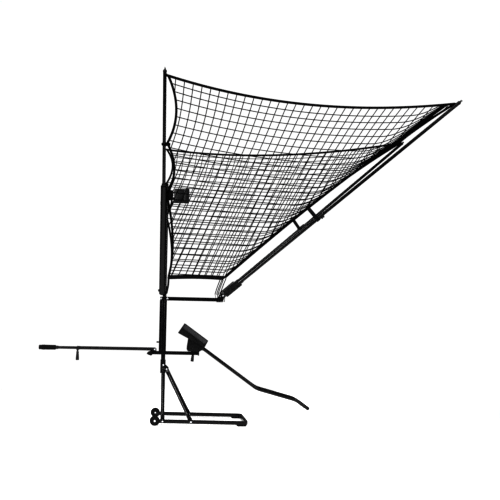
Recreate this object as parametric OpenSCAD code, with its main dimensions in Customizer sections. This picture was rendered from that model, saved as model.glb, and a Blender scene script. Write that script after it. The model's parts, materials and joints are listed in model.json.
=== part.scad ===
// Free-standing ball catch-and-return machine: a wheeled base and mast carry
// four splayed poles with a net funnel, and a tray and two-rail ramp that
// swivel under the funnel's mouth.  Millimetres, +Z up, the ramp points to +X.
// The origin is on the floor, under the middle of the machine.

/* [Base] */
// Distance from the middle plane to each base rail
rail_y = 300; // [260:10:340]
// Side of the square base tube
rail_size = 40; // [36:1:44]
// Height of the base rails' axis above the floor
rail_z = 47; // [44:1:52]
// Front end of the base, ahead of the mast
base_front = 985; // [900:5:1050]
// Distance of the braces' feet ahead of the mast
brace_x = 333; // [300:1:380]
// Diameter of the legs and braces
strut_d = 42; // [38:1:42]
// Diameter of the wheels
wheel_d = 112; // [104:1:116]
// Width of the wheels
wheel_w = 30; // [24:1:32]

/* [Mast] */
// Outer diameter of the mast post
post_d = 84; // [80:1:84]
// Top of the mast post
post_top = 1428; // [1300:2:1440]
// Outer diameter of the upright that stands in the post
upright_d = 44; // [40:1:44]
// Top of the upright
upright_top = 2790; // [2700:10:2850]
// Underside of the cross beam
beam_z = 787; // [770:1:800]
// Height of the cross beam
beam_h = 38; // [34:1:40]

/* [Net frame] */
// Outer diameter of the back poles' lower tubes
pole_outer_d = 42; // [40:1:42]
// Outer diameter of the back poles' upper tubes
pole_inner_d = 34; // [30:1:34]
// Outer diameter of the front arms' lower tubes
arm_outer_d = 44; // [40:1:44]
// Outer diameter of the front arms' upper tubes
arm_inner_d = 36; // [32:1:36]
// Thickness of the net panels
net_t = 2; // [2:0.5:4]

/* [Ramp] */
// Distance of the ramp's swivel axis ahead of the mast
swivel_x = 380; // [370:1:390]
// Outside width of the tray
tray_w = 300; // [280:2:320]
// Distance from the middle plane to each ramp rail
ramp_y = 90; // [86:1:100]
// Diameter of the ramp rails
ramp_d = 40; // [34:1:40]

/* [Handle] */
// Outer diameter of the handle's fixed tube
handle_d = 38; // [36:1:40]
// Diameter of the handle's sliding tube
handle_slide_d = 31.9; // [30:0.1:31.9]

/* [Hidden] */
$fn = 48;

// The mast's axis, measured from the origin
mast_x = -870;
LEFT = 1;
RIGHT = -1;
// Small overrun of a cut past the face it goes through
e = 1;
wall = 2.5;
bolt_d = 10;
hole_d = 10.4;
// Radial clearance of a turning or sliding fit
run = 0.05;

// Base
rail_back = -16;
// Slope of the base rails down towards their front ends
tilt = 0.6;
plate = 6;
axle_d = 12;
wheel_x = -80;
wheel_y = 328;
leg_foot = [8, rail_y + rail_size / 2 + plate / 2, rail_z];
brace_foot = leg_foot + (brace_x - leg_foot[0]) * [cos(tilt), 0, -sin(tilt)];
apex_y = 28;
leg_head = [4, apex_y + plate / 2, 662];
brace_head = [43, apex_y + plate / 2, 615];
stub_d = 48;
stub_bottom = 570;

// Mast and beam
beam_top = beam_z + beam_h;
beam_w = 40;
beam_back = -150;
beam_front = 412;
// The post stands a little behind the upright's axis
post_x = -12;
spigot_top = 960;
post_pin_z = 932;
clamp_h = 42;
clamp_bolts_x = [-38, 36];

// Back poles, from the hub to the tips
pole_foot = [-20, 60, 1503];
pole_tip = [-50, 1500, 3640];
pole_outer_to = 0.532;
pole_inner_from = 0.4;
pole_collar_at = 0.447;
pole_pin_at = 50;

// Front arms, from the hinge to the tips
hinge = [682, 200, 1492];
arm_tip = [3178, 885, 3646];
arm_outer_to = 0.425;
arm_inner_from = 0.36;
ear_t = 6;
knuckle_w = 31;
bar_z = 1428;
bar_s = 42;

// Handle
pivot = [-101, 0, 845];
handle_z = 848;
handle_end = -1015;
lock_x = -1008;
grip_from = -1261;
grip_to = -1459;

// Ramp profile: side view points (x, z) of the tray and of the rails' axes
tray_low_back = [174, 1044];
tray_top_back = [250, 1157];
tray_top_front = [522, 962];
tray_low_front = [480, 884];
rail_path = [[478, 862], [1115, 407], [1586, 280], [1733, 174]];
swivel_lock_x = 352;
swivel_lock_tilt = 6;

// Net: corners of the mouth ring and of the side panels
mouth_back = 41;
mouth_front = 699;
mouth_y = 194;
mouth_z = 1704;
hem_d = 22;
side_corners = [[46, 224, 1720], [704, 284, 1720], [3142, 921, 3640], [-20, 1462, 3612]];
front_corners = [[905, 248, 1860], [3140, 836, 3630]];

// Corners of the sensor box
box_lo = [104, -70, 2606];
box_hi = [266, 70, 2762];

black = "#1c1c1e";
plastic = "#26262a";
rubber = "#161618";
zinc = "#c9ccd0";
cloth = "#141416";

function flip(p, s) = [p[0], s * p[1], p[2]];
function between(a, b, t) = a + (b - a) * t;
function unit(v) = v / norm(v);
function pole_at(t, s) = flip(between(pole_foot, pole_tip, t), s);
function arm_at(t, s) = flip(between(hinge, arm_tip, t), s);

// Puts a piece drawn about the mast's axis in its place
module machine() translate([mast_x, 0, 0]) children();

// Stands children on point a with their +Z towards point b
module along(a, b) {
    d = b - a;
    translate(a) rotate([0, acos(d[2] / norm(d)), atan2(d[1], d[0])]) children();
}

module rod(a, b, d) along(a, b) cylinder(d = d, h = norm(b - a));

module tube(a, b, od, id) {
    h = norm(b - a);
    along(a, b) difference() {
        cylinder(d = od, h = h);
        translate([0, 0, -e]) cylinder(d = id, h = h + 2 * e);
    }
}

// A cylinder along Y through (x, z), from y0 to y1
module across(x, z, y0, y1, d)
    translate([x, y1, z]) rotate([90, 0, 0]) cylinder(d = d, h = y1 - y0);

// A block given by its two corners
module block(lo, hi) translate(lo) cube(hi - lo);

// A side view outline (x, z) with its thickness from y0 to y1
module profile(points, y0, y1)
    translate([0, y1, 0]) rotate([90, 0, 0]) linear_extrude(y1 - y0) polygon(points);

// Hex bolt along Y: head at y0, nut at y1, gripping what is between them
module cross_bolt(x, z, y0, y1, d = bolt_d) {
    head_h = 7;
    lo = min(y0, y1);
    hi = max(y0, y1);
    across(x, z, lo - head_h, hi + head_h, d);
    for (y = [lo - head_h, hi])
        translate([x, y + head_h, z]) rotate([90, 0, 0]) cylinder(d = 2 * d, h = head_h, $fn = 6);
}

// ---- Base -----------------------------------------------------------------

// Slopes the rails about the legs' lower bolts
module tilted()
    translate([leg_foot[0], 0, rail_z]) rotate([0, tilt, 0]) translate([-leg_foot[0], 0, -rail_z]) children();

module base_rail(s) {
    h = rail_size / 2;
    machine() color(black) tilted() difference() {
        block([rail_back, s * rail_y - h, rail_z - h], [base_front, s * rail_y + h, rail_z + h]);
        block([rail_back - e, s * rail_y - h + wall, rail_z - h + wall],
              [base_front - rail_size - wall, s * rail_y + h - wall, rail_z + h - wall]);
        // mitre at the front corner
        translate([base_front, s * (rail_y + h), rail_z - h - e]) rotate([0, 0, s > 0 ? 225 : 135])
            block([0, s > 0 ? 0 : -100, 0], [100, s > 0 ? 100 : 0, rail_size + 2 * e]);
        for (x = [leg_foot[0], brace_x])
            across(x, rail_z, s * rail_y - h - e, s * rail_y + h + e, hole_d);
    }
}
module base_rail_left() base_rail(LEFT);
module base_rail_right() base_rail(RIGHT);

// The crossbar between the rails' front ends, mitred to both
module base_crossbar() {
    h = rail_size / 2;
    w = rail_y + h;
    machine() color(black) tilted() difference() {
        translate([0, 0, rail_z - h]) linear_extrude(rail_size) polygon([
            [base_front, w], [base_front, -w],
            [base_front - rail_size, -w + rail_size], [base_front - rail_size, w - rail_size]]);
        block([base_front - rail_size + wall, -w + rail_size + wall, rail_z - h + wall],
              [base_front - wall, w - rail_size - wall, rail_z + h - wall]);
    }
}

// Height of the sloping rails' underside at x
function rail_under(x) = rail_z - (x - leg_foot[0]) * tan(tilt) - rail_size / 2 / cos(tilt);

// Short rubber wedges that fill the gap between the rails' front ends and the floor
module base_skids() machine() color(rubber) for (s = [LEFT, RIGHT]) {
    skid_from = 850;
    skid_to = 966;
    w = 34;
    gap = 0.05;
    profile([[skid_from, rail_under(skid_from) - gap], [skid_from + 14, 0], [skid_to - 8, 0],
             [skid_to, rail_under(skid_to) - gap]], s * rail_y - w / 2, s * rail_y + w / 2);
}

// End plates with an ear for each wheel's axle
module wheel_brackets() machine() color(black) for (s = [LEFT, RIGHT]) mirror([0, s < 0 ? 1 : 0, 0]) {
    h = rail_size / 2;
    difference() {
        tilted() {
            block([rail_back - plate, rail_y - h, rail_z - h], [rail_back, rail_y + h, rail_z + h]);
            block([wheel_x, rail_y, rail_z - h], [rail_back - plate, rail_y + 8, rail_z + h]);
            across(wheel_x, wheel_d / 2, rail_y, rail_y + 8, rail_size);
        }
        across(wheel_x, wheel_d / 2, rail_y - e, rail_y + 8 + e, axle_d + 2 * run);
    }
}

module wheel_axles() machine() color(zinc) for (s = [LEFT, RIGHT]) mirror([0, s < 0 ? 1 : 0, 0]) {
    outer = wheel_y + wheel_w / 2 + 0.5;
    across(wheel_x, wheel_d / 2, rail_y - 8, outer + 6, axle_d);
    across(wheel_x, wheel_d / 2, outer, outer + 6, 23);
    translate([wheel_x, rail_y, wheel_d / 2]) rotate([90, 0, 0]) cylinder(d = 20, h = 8, $fn = 6);
}

module tyre(s) {
    r = wheel_d / 2;
    hub_r = 33;
    edge = 6;
    w = wheel_w / 2;
    machine() color(rubber) translate([wheel_x, s * wheel_y, r]) rotate([90, 0, 0]) rotate_extrude($fn = 72)
        polygon([[hub_r, -w + 2], [r - edge, -w], [r - 1.5, -w + edge - 2], [r, -w + 9],
                 [r, w - 9], [r - 1.5, w - edge + 2], [r - edge, w], [hub_r, w - 2]]);
}
module tyre_left() tyre(LEFT);
module tyre_right() tyre(RIGHT);

// Dished hub with five windows and a boss on the axle
module hub(s) {
    r = 33;
    w = wheel_w / 2;
    boss = 13;
    machine() color(plastic) translate([wheel_x, s * wheel_y, wheel_d / 2]) mirror([0, s < 0 ? 1 : 0, 0])
        rotate([90, 0, 0]) difference() {
            rotate_extrude($fn = 72) polygon([
                [axle_d / 2, -w], [boss, -w], [boss, -5], [r - 5, -5], [r - 5, -w + 2], [r, -w + 2],
                [r, w - 2], [r - 5, w - 2], [r - 5, 5], [boss, 5], [boss, w + 4.5], [axle_d / 2, w + 4.5]]);
            translate([0, 0, -w - e]) cylinder(d = axle_d + 2 * run, h = 2 * w + 8);
            for (a = [0:72:288]) rotate([0, 0, a]) translate([20.5, 0, -6]) cylinder(d = 9, h = 12);
        }
}
module hub_left() hub(LEFT);
module hub_right() hub(RIGHT);

// Round tube with a drilled lug welded into each end; both lugs lie in XZ planes
module strut(b, t) {
    d = t - b;
    a = atan2(d[0], d[2]);
    u = unit(d);
    lug = 70;
    difference() {
        union() {
            for (end = [[b, a], [t, a + 180]]) translate(end[0]) rotate([0, end[1], 0]) {
                translate([0, plate / 2, 0]) rotate([90, 0, 0]) cylinder(d = strut_d - 4, h = plate);
                block([-strut_d / 2 + 2, -plate / 2, 0], [strut_d / 2 - 2, plate / 2, lug]);
            }
            tube(b + 50 * u, t - 44 * u, strut_d, strut_d - 2 * wall);
        }
        for (p = [b, t]) across(p[0], p[2], p[1] - plate, p[1] + plate, hole_d);
    }
}
module leg_left() machine() color(black) strut(leg_foot, leg_head);
module leg_right() machine() color(black) mirror([0, 1, 0]) strut(leg_foot, leg_head);
module brace_left() machine() color(black) strut(brace_foot, brace_head);
module brace_right() machine() color(black) mirror([0, 1, 0]) strut(brace_foot, brace_head);

// Sleeve where legs and braces meet, with cheeks for the braces' bolts
module apex_bracket() machine() color(black) difference() {
    union() {
        block([-30, -apex_y, stub_bottom], [30, apex_y, 722]);
        for (s = [LEFT, RIGHT]) {
            y = [s * apex_y, s * (apex_y - plate)];
            profile([[20, 580], [66, 596], [66, 634], [20, 676]], min(y), max(y));
        }
    }
    translate([0, 0, stub_bottom - e]) cylinder(d = stub_d + 2 * run, h = 160);
    for (p = [leg_head, brace_head]) across(p[0], p[2], -apex_y - e, apex_y + e, hole_d);
}

module stub_tube() machine() color(black) difference() {
    tube([0, 0, stub_bottom], [0, 0, beam_z], stub_d, stub_d - 2 * 3);
    across(leg_head[0], leg_head[2], -stub_d, stub_d, hole_d);
}

// All bright hex bolts that hold the fixed frame together
module frame_bolts() machine() color(zinc) {
    inner = rail_y - rail_size / 2;
    outer = leg_foot[1] + plate / 2;
    for (p = [leg_foot, brace_foot]) {
        cross_bolt(p[0], p[2], inner, outer);
        cross_bolt(p[0], p[2], -outer, -inner);
    }
    lug = apex_y + plate;
    for (p = [leg_head, brace_head]) cross_bolt(p[0], p[2], -lug, lug);
    for (x = clamp_bolts_x) cross_bolt(x, post_top + clamp_h / 2, -32, 32);
}

// ---- Mast and beam ---------------------------------------------------------

// Square tube across the mast's foot; ears for the handle behind, bore for the ramp ahead
module beam() machine() color(black) difference() {
    w = beam_w / 2;
    ear_in = handle_d / 2 + 0.2;
    union() {
        difference() {
            profile([[beam_back - 30, beam_z], [beam_back + 8, beam_top],
                     [beam_front, beam_top], [beam_front, beam_z]], -w, w);
            profile([[beam_back - 60, beam_z + wall], [beam_back - 20, beam_top - wall],
                     [beam_front + e, beam_top - wall], [beam_front + e, beam_z + wall]],
                    -w + wall, w - wall);
        }
        for (s = [LEFT, RIGHT]) {
            y = [s * ear_in, s * (ear_in + plate)];
            block([pivot[0] - 20, min(y), beam_top - 12], [pivot[0] + 20, max(y), pivot[2]]);
            across(pivot[0], pivot[2], min(y), max(y), 40);
        }
        // stop pad under the handle
        block([beam_back + 8, -14, beam_top], [beam_back + 26, 14, handle_z - handle_d / 2]);
        // steel bush for the ramp's spindle
        translate([swivel_x, 0, beam_z + wall]) cylinder(d = 34, h = beam_h - 2 * wall);
    }
    across(pivot[0], pivot[2], -40, 40, bolt_d + 2 * run);
    translate([swivel_x, 0, beam_z - e]) cylinder(d = 24 + 2 * run, h = beam_h + 2 * e);
    translate([swivel_lock_x, 0, beam_z]) rotate([0, swivel_lock_tilt, 0])
        translate([0, 0, -10]) cylinder(d = 9, h = beam_h + 20);
}

// Plastic plugs: the beam's front end and the upright's top
module end_plugs() machine() color(plastic) {
    w = beam_w / 2;
    block([beam_front, -w - 1, beam_z - 6], [beam_front + 14, w + 1, beam_top]);
    block([beam_front - 12, -w + wall + run, beam_z + wall + run],
          [beam_front, w - wall - run, beam_top - wall - run]);
    translate([0, 0, upright_top]) cylinder(d1 = upright_d + 1, d2 = upright_d - 8, h = 7);
    translate([0, 0, upright_top - 20]) cylinder(d = upright_d - 2 * 3 - 2 * run, h = 20);
}

// Short tube welded on the beam; the post stands over it
module post_spigot() machine() translate([post_x, 0, 0]) color(black) difference() {
    tube([0, 0, beam_top], [0, 0, spigot_top], post_d - 6 - 2 * run, post_d - 14);
    translate([-post_d / 2, 0, post_pin_z]) rotate([0, 90, 0]) cylinder(d = 8.4, h = 20);
}

module mast_post() machine() translate([post_x, 0, 0]) color(black) difference() {
    union() {
        tube([0, 0, beam_top], [0, 0, post_top], post_d, post_d - 6);
        translate([-post_d / 2 - 7, 0, post_pin_z]) rotate([0, 90, 0]) cylinder(d = 17, h = 9);
    }
    translate([-post_d / 2 - 8, 0, post_pin_z]) rotate([0, 90, 0]) cylinder(d = 8 + 2 * run, h = 20);
}

// Spring plunger along +X: pin of length pin, and a waisted knob behind it
module plunger(pin) rotate([0, 90, 0]) {
    cylinder(d = 8, h = pin);
    translate([0, 0, -20]) rotate_extrude() polygon([
        [0, 0], [9, 0], [11, 3], [11, 8], [8, 13], [9, 20], [0, 20]]);
}

module post_pin() machine() color(plastic)
    translate([post_x - post_d / 2 - 7.5, 0, post_pin_z]) plunger(17);

// Block on the post's top, split and clamped round the upright
module head_clamp() machine() color(black) {
    z = post_top;
    difference() {
        union() {
            block([-50, -32, z], [52, 32, z + clamp_h]);
            translate([post_x, 0, z - 30]) cylinder(d = post_d - 6 - 2 * run, h = 30 + e);
        }
        translate([0, 0, z - 31]) cylinder(d = upright_d + 2 * run, h = clamp_h + 40);
        block([-60, -1.5, z - e], [-20, 1.5, z + clamp_h + e]);
        for (x = clamp_bolts_x) across(x, z + clamp_h / 2, -33, 33, hole_d);
    }
}

module upright() machine() color(black)
    tube([0, 0, post_top - 130], [0, 0, upright_top], upright_d, upright_d - 6);

// ---- Net frame -------------------------------------------------------------

// Sleeve on the upright with two splayed sockets for the back poles
module pole_hub() machine() color(black) difference() {
    union() {
        translate([0, 0, pole_foot[2]]) cylinder(d = 56, h = 96);
        block([-44, -84, pole_foot[2]], [12, 84, pole_foot[2] + 30]);
        for (s = [LEFT, RIGHT]) {
            rod(pole_at(0, s), pole_at(0, s) + 120 * unit(pole_at(1, s) - pole_at(0, s)), pole_outer_d + 8);
            a = pole_at(0, s) + pole_pin_at * unit(pole_at(1, s) - pole_at(0, s));
            rod(a - [36, 0, 0], a, 17);
        }
    }
    translate([0, 0, pole_foot[2] - e]) cylinder(d = upright_d + 2 * run, h = 100);
    for (s = [LEFT, RIGHT]) {
        u = unit(pole_at(1, s) - pole_at(0, s));
        rod(pole_at(0, s) + 8 * u, pole_at(0, s) + 200 * u, pole_outer_d + 2 * run);
        a = pole_at(0, s) + pole_pin_at * u;
        rod(a - [40, 0, 0], a, 8 + 2 * run);
    }
    block([-80, -100, pole_foot[2] - 40], [40, 100, pole_foot[2]]);
}

module pole_outer(s) machine() color(black) difference() {
    u = unit(pole_at(1, s) - pole_at(0, s));
    tube(pole_at(0, s) + 8 * u, pole_at(pole_outer_to, s), pole_outer_d, pole_outer_d - 6);
    a = pole_at(0, s) + pole_pin_at * u;
    rod(a - [40, 0, 0], a, 8 + 2 * run);
}
module pole_outer_left() pole_outer(LEFT);
module pole_outer_right() pole_outer(RIGHT);

module pole_inner(s) machine() color(black)
    tube(pole_at(pole_inner_from, s), pole_at(1, s), pole_inner_d, pole_inner_d - 5);
module pole_inner_left() pole_inner(LEFT);
module pole_inner_right() pole_inner(RIGHT);

// Split collar with a clamping tab, drawn along +Z with the tab towards -X
module collar(bore, od, h) difference() {
    union() {
        cylinder(d = od, h = h);
        block([-od / 2 - 10, -8, 3], [0, 8, h - 3]);
    }
    translate([0, 0, -e]) cylinder(d = bore, h = h + 2 * e);
    block([-od, -1.5, -e], [-bore / 2 + 2, 1.5, h + e]);
}

// Clamp collars on the lower tubes, and the bushes that close their tops
module pole_collars() machine() color(plastic) for (s = [LEFT, RIGHT]) {
    end = pole_at(pole_outer_to, s);
    u = unit(pole_at(1, s) - pole_at(0, s));
    along(pole_at(pole_collar_at, s), pole_at(1, s)) rotate([0, 0, -90 * s])
        collar(pole_outer_d + 2 * run, pole_outer_d + 10, 36);
    tube(end + 0.2 * u, end + 26 * u, pole_outer_d + 4, pole_inner_d + 2 * run);
}

// Plug with a conical point and an eye for the net's corner
module tip_cap(bore, od) {
    translate([0, 0, -24]) cylinder(d = bore, h = 24.4);
    translate([0, 0, 0.2]) cylinder(d = od + 4, h = 13.8);
    translate([0, 0, 14]) cylinder(d1 = od + 4, d2 = 10, h = 16);
    translate([0, 0, 38]) rotate([90, 0, 0]) rotate_extrude() translate([9, 0]) circle(d = 6, $fn = 24);
}
module pole_tips() machine() color(plastic) for (s = [LEFT, RIGHT])
    along(pole_at(1, s), pole_at(1.1, s)) tip_cap(pole_inner_d - 5 - 2 * run, pole_inner_d);

module pole_pin(s) machine() color(plastic)
    translate(pole_at(0, s) + pole_pin_at * unit(pole_at(1, s) - pole_at(0, s)) - [36.5, 0, 0]) plunger(20);
module pole_pin_left() pole_pin(LEFT);
module pole_pin_right() pole_pin(RIGHT);

module basket_bar() machine() color(black) difference() {
    h = bar_s / 2;
    block([52, -h, bar_z], [hinge[0] - 42, h, bar_z + bar_s]);
    block([52 - e, -h + wall, bar_z + wall], [hinge[0] - 42 + e, h - wall, bar_z + bar_s - wall]);
}

// Crossbar at the bar's front end with a pair of hinge ears at each end
module front_crossbar() machine() color(black) {
    back = hinge[0] - 42;
    inner = knuckle_w / 2 + 0.3;
    ear_d = 40;
    for (s = [LEFT, RIGHT]) {
        for (side = [-1, 1]) {
            y = [s * hinge[1] + side * inner, s * hinge[1] + side * (inner + ear_t)];
            difference() {
                union() {
                    profile([[back, bar_z], [back + bar_s, bar_z], [hinge[0] + ear_d / 2, hinge[2]],
                             [hinge[0] - ear_d / 2, hinge[2]], [back, bar_z + bar_s]], min(y), max(y));
                    across(hinge[0], hinge[2], min(y), max(y), ear_d);
                }
                across(hinge[0], hinge[2], min(y) - e, max(y) + e, bolt_d + 2 * run);
            }
        }
    }
    w = hinge[1] - inner;
    difference() {
        block([back, -w - 2, bar_z], [back + bar_s, w + 2, bar_z + bar_s]);
        block([back + wall, -w + 4, bar_z + wall], [back + bar_s - wall, w - 4, bar_z + bar_s - wall]);
    }
    // strips that tie the outer ears to the inner ones
    for (s = [LEFT, RIGHT]) {
        y = [s * (hinge[1] - inner), s * (hinge[1] + inner)];
        block([back, min(y), bar_z], [back + 12, max(y), bar_z + bar_s]);
    }
}

// Bright bolts that the arms and the handle turn on
module pivot_bolts() machine() color(zinc) {
    out = knuckle_w / 2 + 0.3 + ear_t;
    ear_out = handle_d / 2 + 0.2 + plate;
    for (s = [LEFT, RIGHT]) cross_bolt(hinge[0], hinge[2], s * hinge[1] - out, s * hinge[1] + out);
    cross_bolt(pivot[0], pivot[2], -ear_out, ear_out);
}

// Knuckle and deep rectangular socket that each arm is bolted into
module arm_sleeves() machine() color(black) for (s = [LEFT, RIGHT]) mirror([0, s < 0 ? 1 : 0, 0]) {
    foot = arm_at(0, LEFT);
    difference() {
        union() {
            across(hinge[0], hinge[2], foot[1] - knuckle_w / 2, foot[1] + knuckle_w / 2, 44);
            along(foot, arm_at(1, LEFT)) {
                block([-14, -8, 12], [14, 8, 36]);
                block([-40, -24, 30], [40, 24, 252]);
                translate([0, 0, 240]) cylinder(d = 54, h = 48);
            }
        }
        along(foot, arm_at(1, LEFT)) translate([0, 0, 59.8]) cylinder(d = arm_outer_d + 2 * run, h = 300);
        across(hinge[0], hinge[2], foot[1] - 30, foot[1] + 30, bolt_d + 2 * run);
    }
}

module arm_outer(s) machine() color(black) {
    u = unit(arm_at(1, s) - arm_at(0, s));
    tube(arm_at(0, s) + 60 * u, arm_at(arm_outer_to, s), arm_outer_d, arm_outer_d - 5);
}
module arm_outer_left() arm_outer(LEFT);
module arm_outer_right() arm_outer(RIGHT);

module arm_inner(s) machine() color(black)
    tube(arm_at(arm_inner_from, s), arm_at(1, s), arm_inner_d, arm_inner_d - 4);
module arm_inner_left() arm_inner(LEFT);
module arm_inner_right() arm_inner(RIGHT);

// Clamp collars where the arms' upper tubes leave the lower ones
module arm_collars() machine() color(plastic) for (s = [LEFT, RIGHT])
    along(arm_at(arm_outer_to, s), arm_at(1, s)) rotate([0, 0, 180]) {
        translate([0, 0, 0.2]) collar(arm_inner_d + 2 * run, arm_outer_d + 10, 44);
        translate([0, 0, -26]) difference() {
            cylinder(d = arm_outer_d + 10, h = 26.4);
            translate([0, 0, -e]) cylinder(d = arm_outer_d + 2 * run, h = 26.4 + 2 * e);
        }
    }

module arm_tips() machine() color(plastic) for (s = [LEFT, RIGHT])
    along(arm_at(1, s), arm_at(1.1, s)) tip_cap(arm_inner_d - 4 - 2 * run, arm_inner_d);

// ---- Shot sensor -----------------------------------------------------------

module sensor_box() machine() color(plastic) {
    r = 14;
    hull() for (x = [box_lo[0] + r, box_hi[0] - r]) for (z = [box_lo[2] + r, box_hi[2] - r]) {
        across(x, z, box_lo[1] + 6, box_hi[1] - 6, 2 * r, $fn = 24);
        across(x, z, box_lo[1], box_hi[1], 2 * r - 10, $fn = 24);
    }
    // hood over the front window
    difference() {
        block([box_hi[0] - 30, -58, box_hi[2] - e], [box_hi[0] + 2, 58, box_hi[2] + 5]);
        block([box_hi[0] - 40, -52, box_hi[2] - 2], [box_hi[0] - 6, 52, box_hi[2] + 3]);
    }
}

// Two clamp rings on the upright and the arm that carries the box
module sensor_bracket() machine() color(black) difference() {
    union() {
        for (z = [2628, 2716]) translate([0, 0, z]) cylinder(d = 54, h = 34);
        block([18, -6, 2628], [70, 6, 2750]);
        block([66, -38, 2640], [76, 38, 2738]);
        for (y = [-26, 26]) for (z = [2656, 2722])
            translate([70, y, z]) rotate([0, 90, 0]) cylinder(d = 12, h = 34);
    }
    translate([0, 0, 2600]) cylinder(d = upright_d + 2 * run, h = 200);
}

// ---- Handle ----------------------------------------------------------------

module handle_outer() machine() color(black) difference() {
    union() {
        tube([handle_end, 0, handle_z], [pivot[0] - 16, 0, handle_z], handle_d, handle_slide_d + 2 * run);
        // solid eye that turns between the beam's ears
        intersection() {
            union() {
                translate([pivot[0] - 60, 0, handle_z]) rotate([0, 90, 0]) cylinder(d = handle_d, h = 60);
                across(pivot[0], pivot[2], -19, 19, 38);
            }
            block([pivot[0] - 30, -19, 820], [pivot[0] + 19, 19, 870]);
        }
        // housing of the sprung lock
        translate([lock_x, 0, 811]) cylinder(d1 = 20, d2 = 30, h = 22);
        translate([handle_end, 0, handle_z]) rotate([0, 90, 0]) difference() {
            cylinder(d = handle_d + 4, h = 30);
            translate([0, 0, -e]) cylinder(d = handle_d - e, h = 32);
        }
    }
    across(pivot[0], pivot[2], -30, 30, bolt_d + 2 * run);
    translate([handle_end - 30, 0, handle_z]) rotate([0, 90, 0])
        cylinder(d = handle_slide_d + 2 * run, h = 889);
    translate([lock_x, 0, 800]) cylinder(d = 8 + 2 * run, h = 40);
}

module handle_inner() machine() color(black) {
    tube([grip_to + 14, 0, handle_z], [-700, 0, handle_z], handle_slide_d, handle_slide_d - 5);
    translate([grip_from + 1, 0, handle_z]) rotate([0, 90, 0]) difference() {
        cylinder(d = 40, h = 24);
        translate([0, 0, -e]) cylinder(d = handle_slide_d - e, h = 26);
    }
}

// Moulded grip, fuller towards its rear end
module handle_grip() machine() color(rubber) difference() {
    l = grip_from - grip_to;
    translate([grip_to, 0, handle_z]) rotate([0, 90, 0]) rotate_extrude($fn = 64) polygon([
        [0, 0], [24, 0], [27, 3], [27, 12], [25, 18], [27, 30], [30, 46], [30, 62], [28, 80], [28.5, 110],
        [27.5, 140], [27.5, 170], [28, l - 12], [26, l - 4], [20, l], [0, l]]);
    translate([grip_to + 12, 0, handle_z]) rotate([0, 90, 0]) cylinder(d = handle_slide_d + 2 * run, h = l);
}

// Sprung pull knob drawn hanging from the origin: pin up, stem, and a flared grip
module pull_knob(pin, stem) {
    translate([0, 0, -stem]) cylinder(d = 8, h = pin + stem);
    translate([0, 0, -stem - 74]) rotate_extrude() polygon([
        [0, 0], [15, 0], [17, 3], [17, 14], [16, 40], [14, 60], [12, 70], [8, 74], [0, 74]]);
}
module handle_lock() machine() color(plastic) translate([lock_x, 0, 810]) pull_knob(21.5, 32);

// ---- Ramp ------------------------------------------------------------------

// Height of the tray's underside at x
function tray_under(x) =
    let (k = (x - tray_low_front[0]) / (tray_low_back[0] - tray_low_front[0]))
    between(tray_low_front[1], tray_low_back[1], k);

// Turret under the tray: disc on the beam, spindle in it, and a shoulder for the rails
module pedestal() machine() color(plastic) {
    foot = beam_top + 6;
    back = 278;
    front = 480;
    w = 70;
    r = 22;
    intersection() {
        profile([[298, foot], [412, foot], [438, foot + 6], [458, foot + 18], [front, foot + 34],
                 [front, tray_under(front) - 0.3], [294, tray_under(294) - 0.3], [287, foot + 100],
                 [280, foot + 52], [back, foot + 24], [284, foot + 8]], -w, w);
        translate([0, 0, foot - e]) linear_extrude(300) polygon([
            [back, -w + r], [back + r, -w], [front - r, -w], [front, -w + r],
            [front, w - r], [front - r, w], [back + r, w], [back, w - r]]);
    }
    profile([[446, 850], [478, 842], [478, tray_under(478) - 0.3], [446, tray_under(446) - 0.3]],
            -112, 112);
    translate([swivel_x, 0, beam_top + 0.2]) cylinder(d = 104, h = 7);
    translate([swivel_x, 0, beam_z + 2]) cylinder(d = 24, h = beam_h + 2);
}

// Open-topped chute: floor, back wall, two side walls with ribs and a turned-out rim
module ramp_tray() machine() color(plastic) {
    t = 6;
    w = tray_w / 2;
    along_floor = unit(tray_low_front - tray_low_back);
    up = [-along_floor[1], along_floor[0]];
    along_rim = unit(tray_top_front - tray_top_back);
    rim_up = [-along_rim[1], along_rim[0]];
    profile([tray_low_back, tray_low_front, tray_low_front + t * up, tray_low_back + t * up], -w, w);
    profile([tray_low_back, tray_top_back, tray_top_back + t * along_rim, tray_low_back + t * along_floor],
            -w, w);
    for (s = [LEFT, RIGHT]) {
        y = [s * w, s * (w - t)];
        profile([tray_low_back, tray_top_back, tray_top_front, tray_low_front], min(y), max(y));
        rim = [s * w, s * (w + 7)];
        profile([tray_top_back, tray_top_front, tray_top_front - 9 * rim_up, tray_top_back - 9 * rim_up],
                min(rim), max(rim));
        rib = [s * w, s * (w + 4)];
        for (k = [0.32, 0.64, 0.985]) {
            low = between(tray_low_back, tray_low_front, k);
            top = between(tray_top_back, tray_top_front, k);
            profile([low, top, top + 5 * along_rim, low + 5 * along_floor], min(rib), max(rib));
        }
    }
}

// Point t of a corner rounded between two straight runs: quadratic curve through its three points
function bend_at(a, c, b, t) = (1 - t) * (1 - t) * a + 2 * t * (1 - t) * c + t * t * b;

// Side view path with its inner corners rounded, starting and ending where the corners do
function rounded(p, reach) = [
    p[0],
    for (i = [1:len(p) - 2])
        let (a = p[i] + reach * unit(p[i - 1] - p[i]), b = p[i] + reach * unit(p[i + 1] - p[i]))
        for (t = [0:0.25:1]) bend_at(a, p[i], b, t),
    p[len(p) - 1]];

// Ring of n points, of radius r, round point c of a side view path that runs along t
function ring(c, t, y, r, n) = [for (k = [0:n - 1])
    let (a = 360 * k / n) [c[0] - r * cos(a) * t[1], y + r * sin(a), c[1] + r * cos(a) * t[0]]];

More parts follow.
